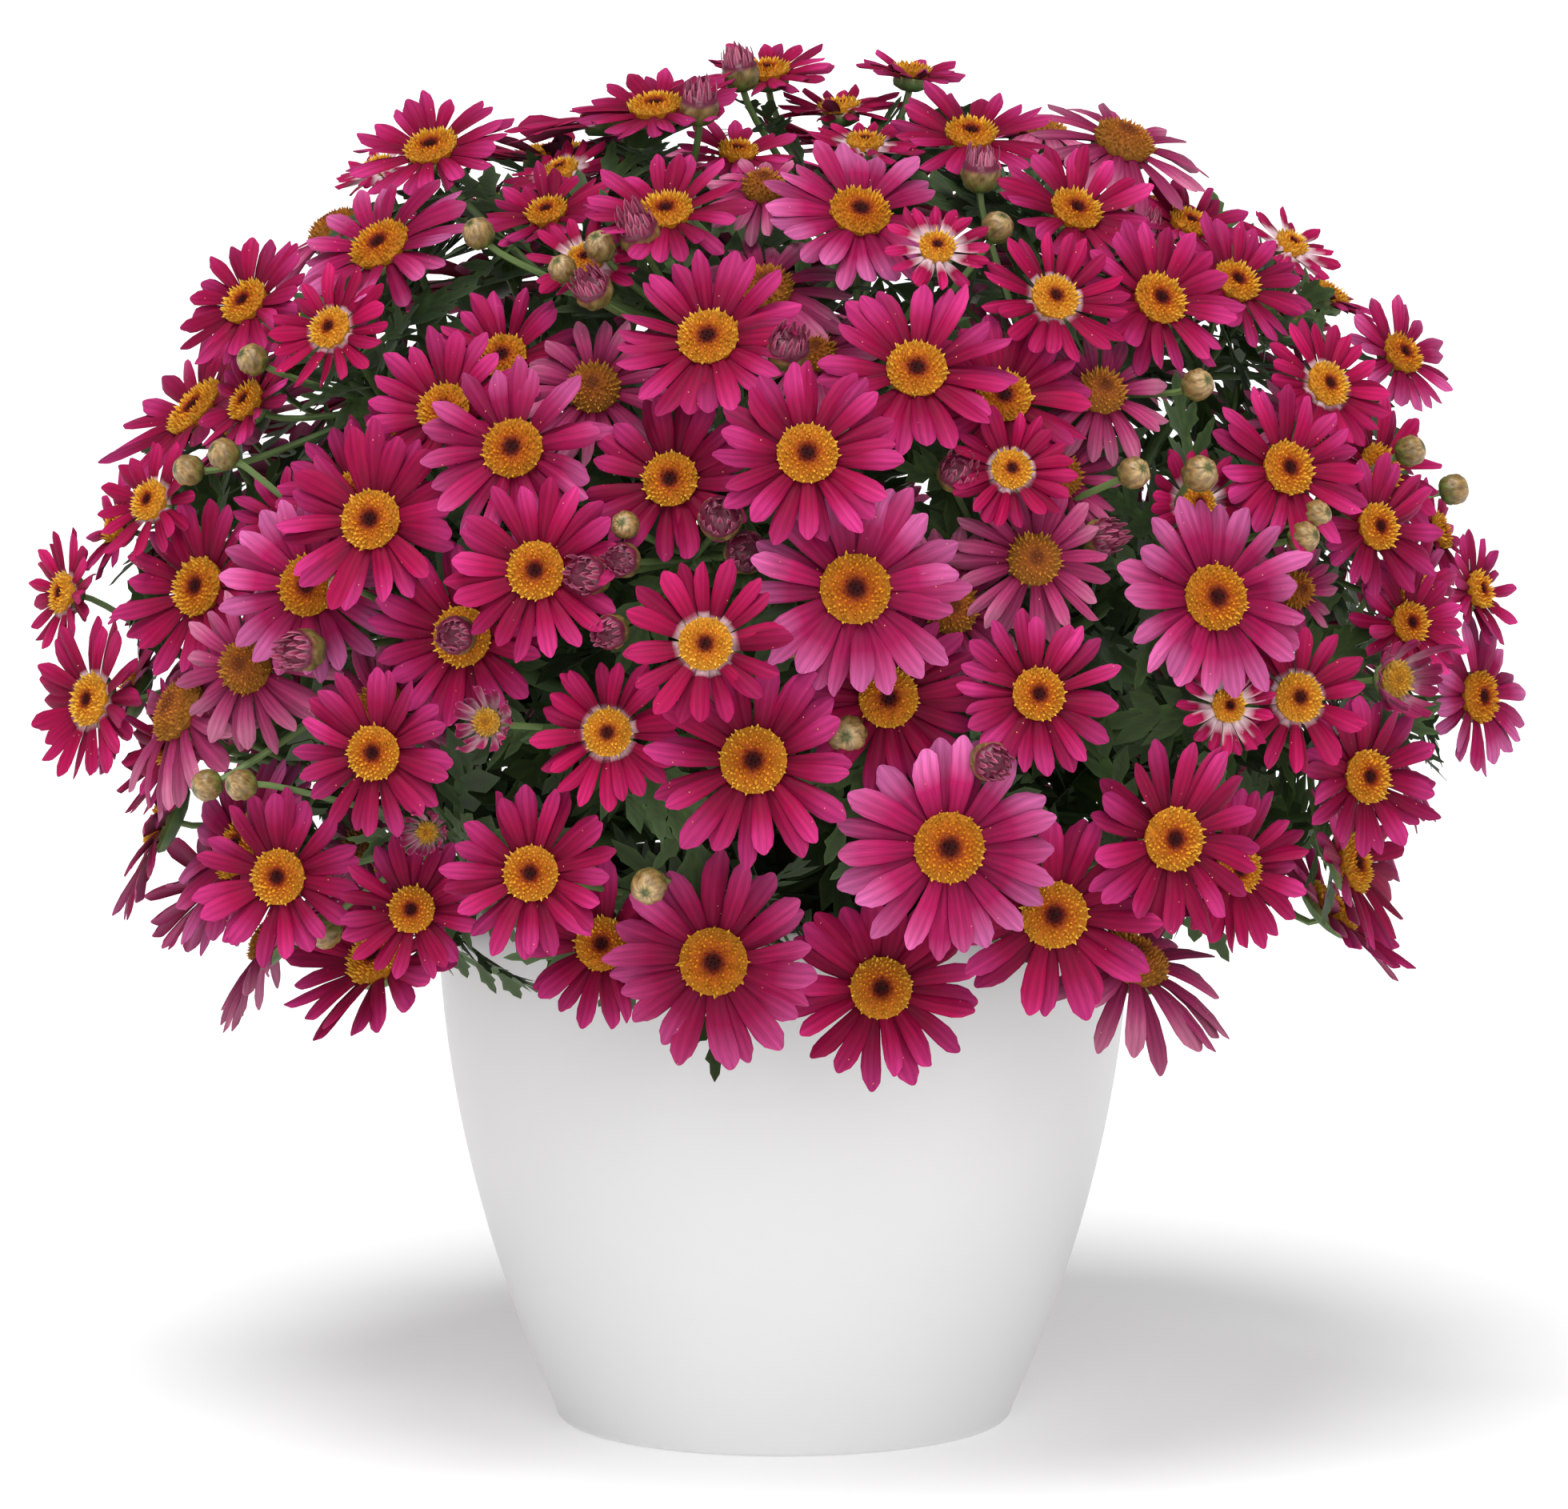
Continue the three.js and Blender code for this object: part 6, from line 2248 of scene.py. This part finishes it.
@dataclass
class Planter:
    """The planter: a moulded shell whose wall swells from the foot and stands upright at the rim.

    The wall's outside radius at level z is rim - (rim - foot) * (1 - z / height)^2. Its foot is rounded on a
    quarter circle, and its rim is a half circle.
    """

    height: float = 150.0
    rim_radius: float = 96.5
    foot_radius: float = 62.5
    wall: float = 2.6
    floor: float = 3.2
    foot_round: float = 3.0
    innermost: float = 0.5
    sides: int = 112
    levels: int = 18
    colour: str = "#F0F0EE"

    def outside(self, level: Array) -> Array:
        """The wall's outside radius at a level."""
        return self.rim_radius - (self.rim_radius - self.foot_radius) * (1 - level / self.height) ** 2

    def profile(self) -> Array:
        """The section as radius and level, from the middle of the base round the rim to that of the floor.

        Returns:
            Stops by two.
        """
        quarter = np.linspace(0, math.pi / 2, 7)
        foot_wall = self.outside(np.array(self.foot_round))
        foot = np.stack([
            foot_wall - self.foot_round + self.foot_round * np.sin(quarter),
            self.foot_round - self.foot_round * np.cos(quarter),
        ], -1)
        level = np.linspace(self.foot_round, self.height - self.wall / 2, self.levels)
        out = np.stack([self.outside(level), level], -1)
        half = np.linspace(0, math.pi, 9)[1:-1]
        rim = np.stack([
            self.rim_radius - self.wall / 2 + self.wall / 2 * np.cos(half),
            self.height - self.wall / 2 + self.wall / 2 * np.sin(half),
        ], -1)
        down = np.linspace(self.height - self.wall / 2, self.floor, self.levels)
        inside = np.stack([self.outside(down) - self.wall, down], -1)
        start = [[self.innermost, 0.0], [foot[0, 0] * 0.5, 0.0]]
        end = [[inside[-1, 0] * 0.5, self.floor], [self.innermost, self.floor]]
        return np.concatenate([start, foot, out[1:], rim, inside, end])

    def turn(self) -> bpy.types.Object:
        """Turns the section round the axis.

        Returns:
            The planter.
        """
        section = self.profile()
        angle = turns(self.sides)
        points = circle(section[:, :1], angle, section[:, 1:]).reshape(1, -1, 3)
        skin = Skin()
        skin.add(points, tube_nets(len(section), self.sides), linear(self.colour), vector(0, 0, 0))
        return skin.make("planter_shell", GlossyPlastic().make(), "pot_plastic", ["pot"])


@dataclass
class PottingMix:
    """The soil: a low crown of crumbs that fills the planter to below its rim.

    Its surface at radius r is level + crown * (1 - (r / edge)^2), and three crossed waves add the lumps.
    """

    level: float = 128.0
    crown: float = 3.0
    lump: float = 0.7
    wall_gap: float = 0.42
    floor_gap: float = 0.3
    wall_levels: int = 6
    base_share: float = 0.3
    rings: int = 26
    sides: int = 96
    colour: str = "#3A2A1E"
    planter: Planter = field(default_factory=Planter)

    def edge_at(self, level: float) -> float:
        """The soil's radius at a level, a small gap inside the planter's wall."""
        return float(self.planter.outside(np.array(level))) - self.planter.wall - self.wall_gap

    def heap(self) -> bpy.types.Object:
        """Makes the soil as one closed body.

        Returns:
            The soil.
        """
        edge, low = self.edge_at(self.level), self.edge_at(self.planter.floor)
        angle = turns(self.sides)
        share = np.linspace(1, 0.01, self.rings)[:, None]
        x, y = share * edge * np.cos(angle), share * edge * np.sin(angle)
        lumps = np.sin(x / 2.9 + 1.3 * np.sin(y / 5.1)) * np.cos(y / 3.3) + 0.6 * np.sin((x + y) / 7.7)
        z = self.level + self.crown * (1 - share * share) + self.lump * lumps * smooth(share, 1.0, 0.94)
        top = joined(x, y, z)
        walls = []
        for level in np.linspace(self.planter.floor + self.floor_gap, self.level, self.wall_levels)[:-1]:
            walls.append(circle(self.edge_at(level), angle, level))
        base = circle(low * self.base_share, angle, walls[0][:, 2])
        points = np.concatenate([[base], walls, top])
        skin = Skin()
        nets = tube_nets(len(points), self.sides)
        skin.add(points.reshape(1, -1, 3), nets, linear(self.colour), vector(0, 0, 0))
        return skin.make("potting_mix", MoistPeat().make(), "potting_mix", ["soil"])


# ---- the studio


@dataclass
class Studio:
    """A pale seamless floor, soft lamps above and in front, and the camera, in metres."""

    eye: tuple = (0.0, -2.6, 0.5)
    aim: tuple = (0.0, 0.0, 0.186)
    lens: float = 216.5
    floor_flat: float = 6.0
    floor_radius: float = 14.0
    floor_sides: int = 96
    floor_rings: int = 13
    floor_drop: float = 0.0002
    floor_depth: float = 0.01
    floor_middle: float = 0.5
    cove_height: float = 1.3
    floor_colours: tuple = ("#F4F4F4", "#F1F1F1")
    tooth: float = 400.0
    floor_glow: float = 0.3
    air: float = 0.24
    key_power: float = 2.25
    key_turn: float = -14.0
    key_height: float = 64.0
    key_softness: float = 32.0
    fill_power: float = 1.42
    fill_turn: float = 8.0
    fill_height: float = 14.0
    fill_softness: float = 45.0

    def camera(self) -> None:
        """Sets the camera at its eye, looking at its aim."""
        data = bpy.data.cameras.new("camera")
        data.sensor_fit = "HORIZONTAL"
        data.sensor_width = 36.0
        data.lens = self.lens
        data.clip_end = 60.0
        camera = new_object("camera", data)
        camera.location = self.eye
        down = math.atan2(self.eye[2] - self.aim[2], self.aim[1] - self.eye[1])
        camera.rotation_euler = (math.pi / 2 - down, 0, 0)
        bpy.context.scene.camera = camera

    def lamp(self, name: str, power: float, turn: float, height: float, softness: float) -> None:
        """Adds a soft distant lamp.

        Args:
            name: The lamp's name.
            power: Its strength.
            turn: Degrees to the right of the camera's side, seen from above.
            height: Degrees above the floor.
            softness: How wide it looks from the object, in degrees.
        """
        data = bpy.data.lights.new(name, "SUN")
        data.energy = power
        data.angle = math.radians(softness)
        lamp = new_object(name, data)
        lamp.rotation_euler = (math.radians(90 - height), 0, math.radians(turn))

    def floor(self) -> None:
        """Lays the floor: a flat disc that rises in a soft cove far from the object, with a closed underside.

        Past the flat part, the height at share s of the rest of the radius is cove_height * s^2.
        """
        angle = turns(self.floor_sides)
        rim = circle(1.0, angle, 0.0)
        rings = [
            rim * blend(self.floor_flat, self.floor_radius, part)
            + vector(0, 0, self.cove_height * part * part - self.floor_drop)
            for part in np.linspace(1, 0, self.floor_rings)
        ]
        middle, deep = rim * self.floor_middle, vector(0, 0, self.floor_depth)
        under = [middle - deep, rim * self.floor_flat - deep, rings[0] - deep]
        sections = [*under, *rings, middle - vector(0, 0, self.floor_drop)]
        mesh = bpy.data.meshes.new("floor")
        mesh.from_pydata(
            np.concatenate(sections).tolist(), [],
            [face.tolist() for net in tube_nets(len(sections), self.floor_sides) for face in net],
        )
        material, tree, shader = new_material("seamless_paper")
        place = add_node(tree, "TexCoord", {}).outputs["Object"]
        tooth = add_node(tree, "TexNoise", {"Vector": place, "Scale": self.tooth, "Detail": 2})
        bright, dull = (rgba(code) for code in self.floor_colours)
        white = add_node(tree, "Mix", {0: tooth.outputs[0], 6: bright, 7: dull}, data_type="RGBA")
        feed(tree, shader, {
            "Base Color": white.outputs[2], "Roughness": 0.9, "Specular IOR Level": 0.1,
            "Emission Color": (1, 1, 1, 1), "Emission Strength": self.floor_glow,
        })
        mesh.materials.append(material)
        floor = new_object("floor", mesh)

    def light(self) -> None:
        """Fills the room with pale light and adds the lamps."""
        world = bpy.data.worlds.new("studio")
        world.use_nodes = True
        sky = world.node_tree.nodes["Background"]
        sky.inputs["Color"].default_value = (1, 1, 1, 1)
        sky.inputs["Strength"].default_value = self.air
        bpy.context.scene.world = world
        self.lamp("key", self.key_power, self.key_turn, self.key_height, self.key_softness)
        self.lamp("fill", self.fill_power, self.fill_turn, self.fill_height, self.fill_softness)
        bpy.context.scene.view_settings.view_transform = "Standard"


# ---- the whole plant


def dress(planting: Planting) -> None:
    """Grows every part of the plant, one set of pieces for each leafy stem and the sprays on it.

    Args:
        planting: The plan.
    """
    rays, discs, stalks, buds, foliage, stems = Rays(), Discs(), Stalks(), Buds(), Foliage(), Stems()
    velvet, wax, bloom = PETAL_VELVET.make(), DISC_WAX.make(), LEAF_BLOOM.make()
    skin_green, paper = STALK_SKIN.make(), BUD_PAPER.make()
    more = foliage.fill(planting)
    for number, stem in enumerate(planting.stems):
        tag = f"{number + 1:02d}"
        own = [f"leafy_stem_{tag}"]
        sprays = [f"flower_spray_{planting.sprays.index(spray) + 1:02d}" for spray in stem.sprays]
        wood, leaves = Skin(), Skin()
        stems.rise(stem, wood)
        wood.make(f"stems_{tag}", skin_green, "stem_green", own)
        foliage.leaf_out(stem.leaves, more[number], planting.dome, leaves)
        leaves.make(f"leaves_{tag}", bloom, "stem_green", own)
        petals, eyes, greens, closed = Skin(), Skin(), Skin(), Skin()
        for spray in stem.sprays:
            stalks.raise_up(spray, greens)
            buds.set_on(spray, planting.dome, closed, greens)
            for head in spray.heads:
                rays.ring(head, petals)
                discs.seat(head, eyes)
        petals.make(f"petals_{tag}", velvet, "petal_magenta", sprays)
        eyes.make(f"discs_{tag}", wax, "", sprays)
        greens.make(f"stalks_{tag}", skin_green, "stem_green", sprays)
        if closed.count:
            closed.make(f"buds_{tag}", paper, "stem_green", sprays)


def main() -> None:
    """Sets the studio, then builds the planter, its soil and the plant."""
    logging.basicConfig(level=logging.INFO, format="%(message)s")
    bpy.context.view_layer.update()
    studio = Studio()
    studio.camera()
    studio.light()
    studio.floor()
    Planter().turn()
    PottingMix().heap()
    dress(Planting().plan())
    bpy.context.view_layer.update()


if __name__ == "__main__":
    main()
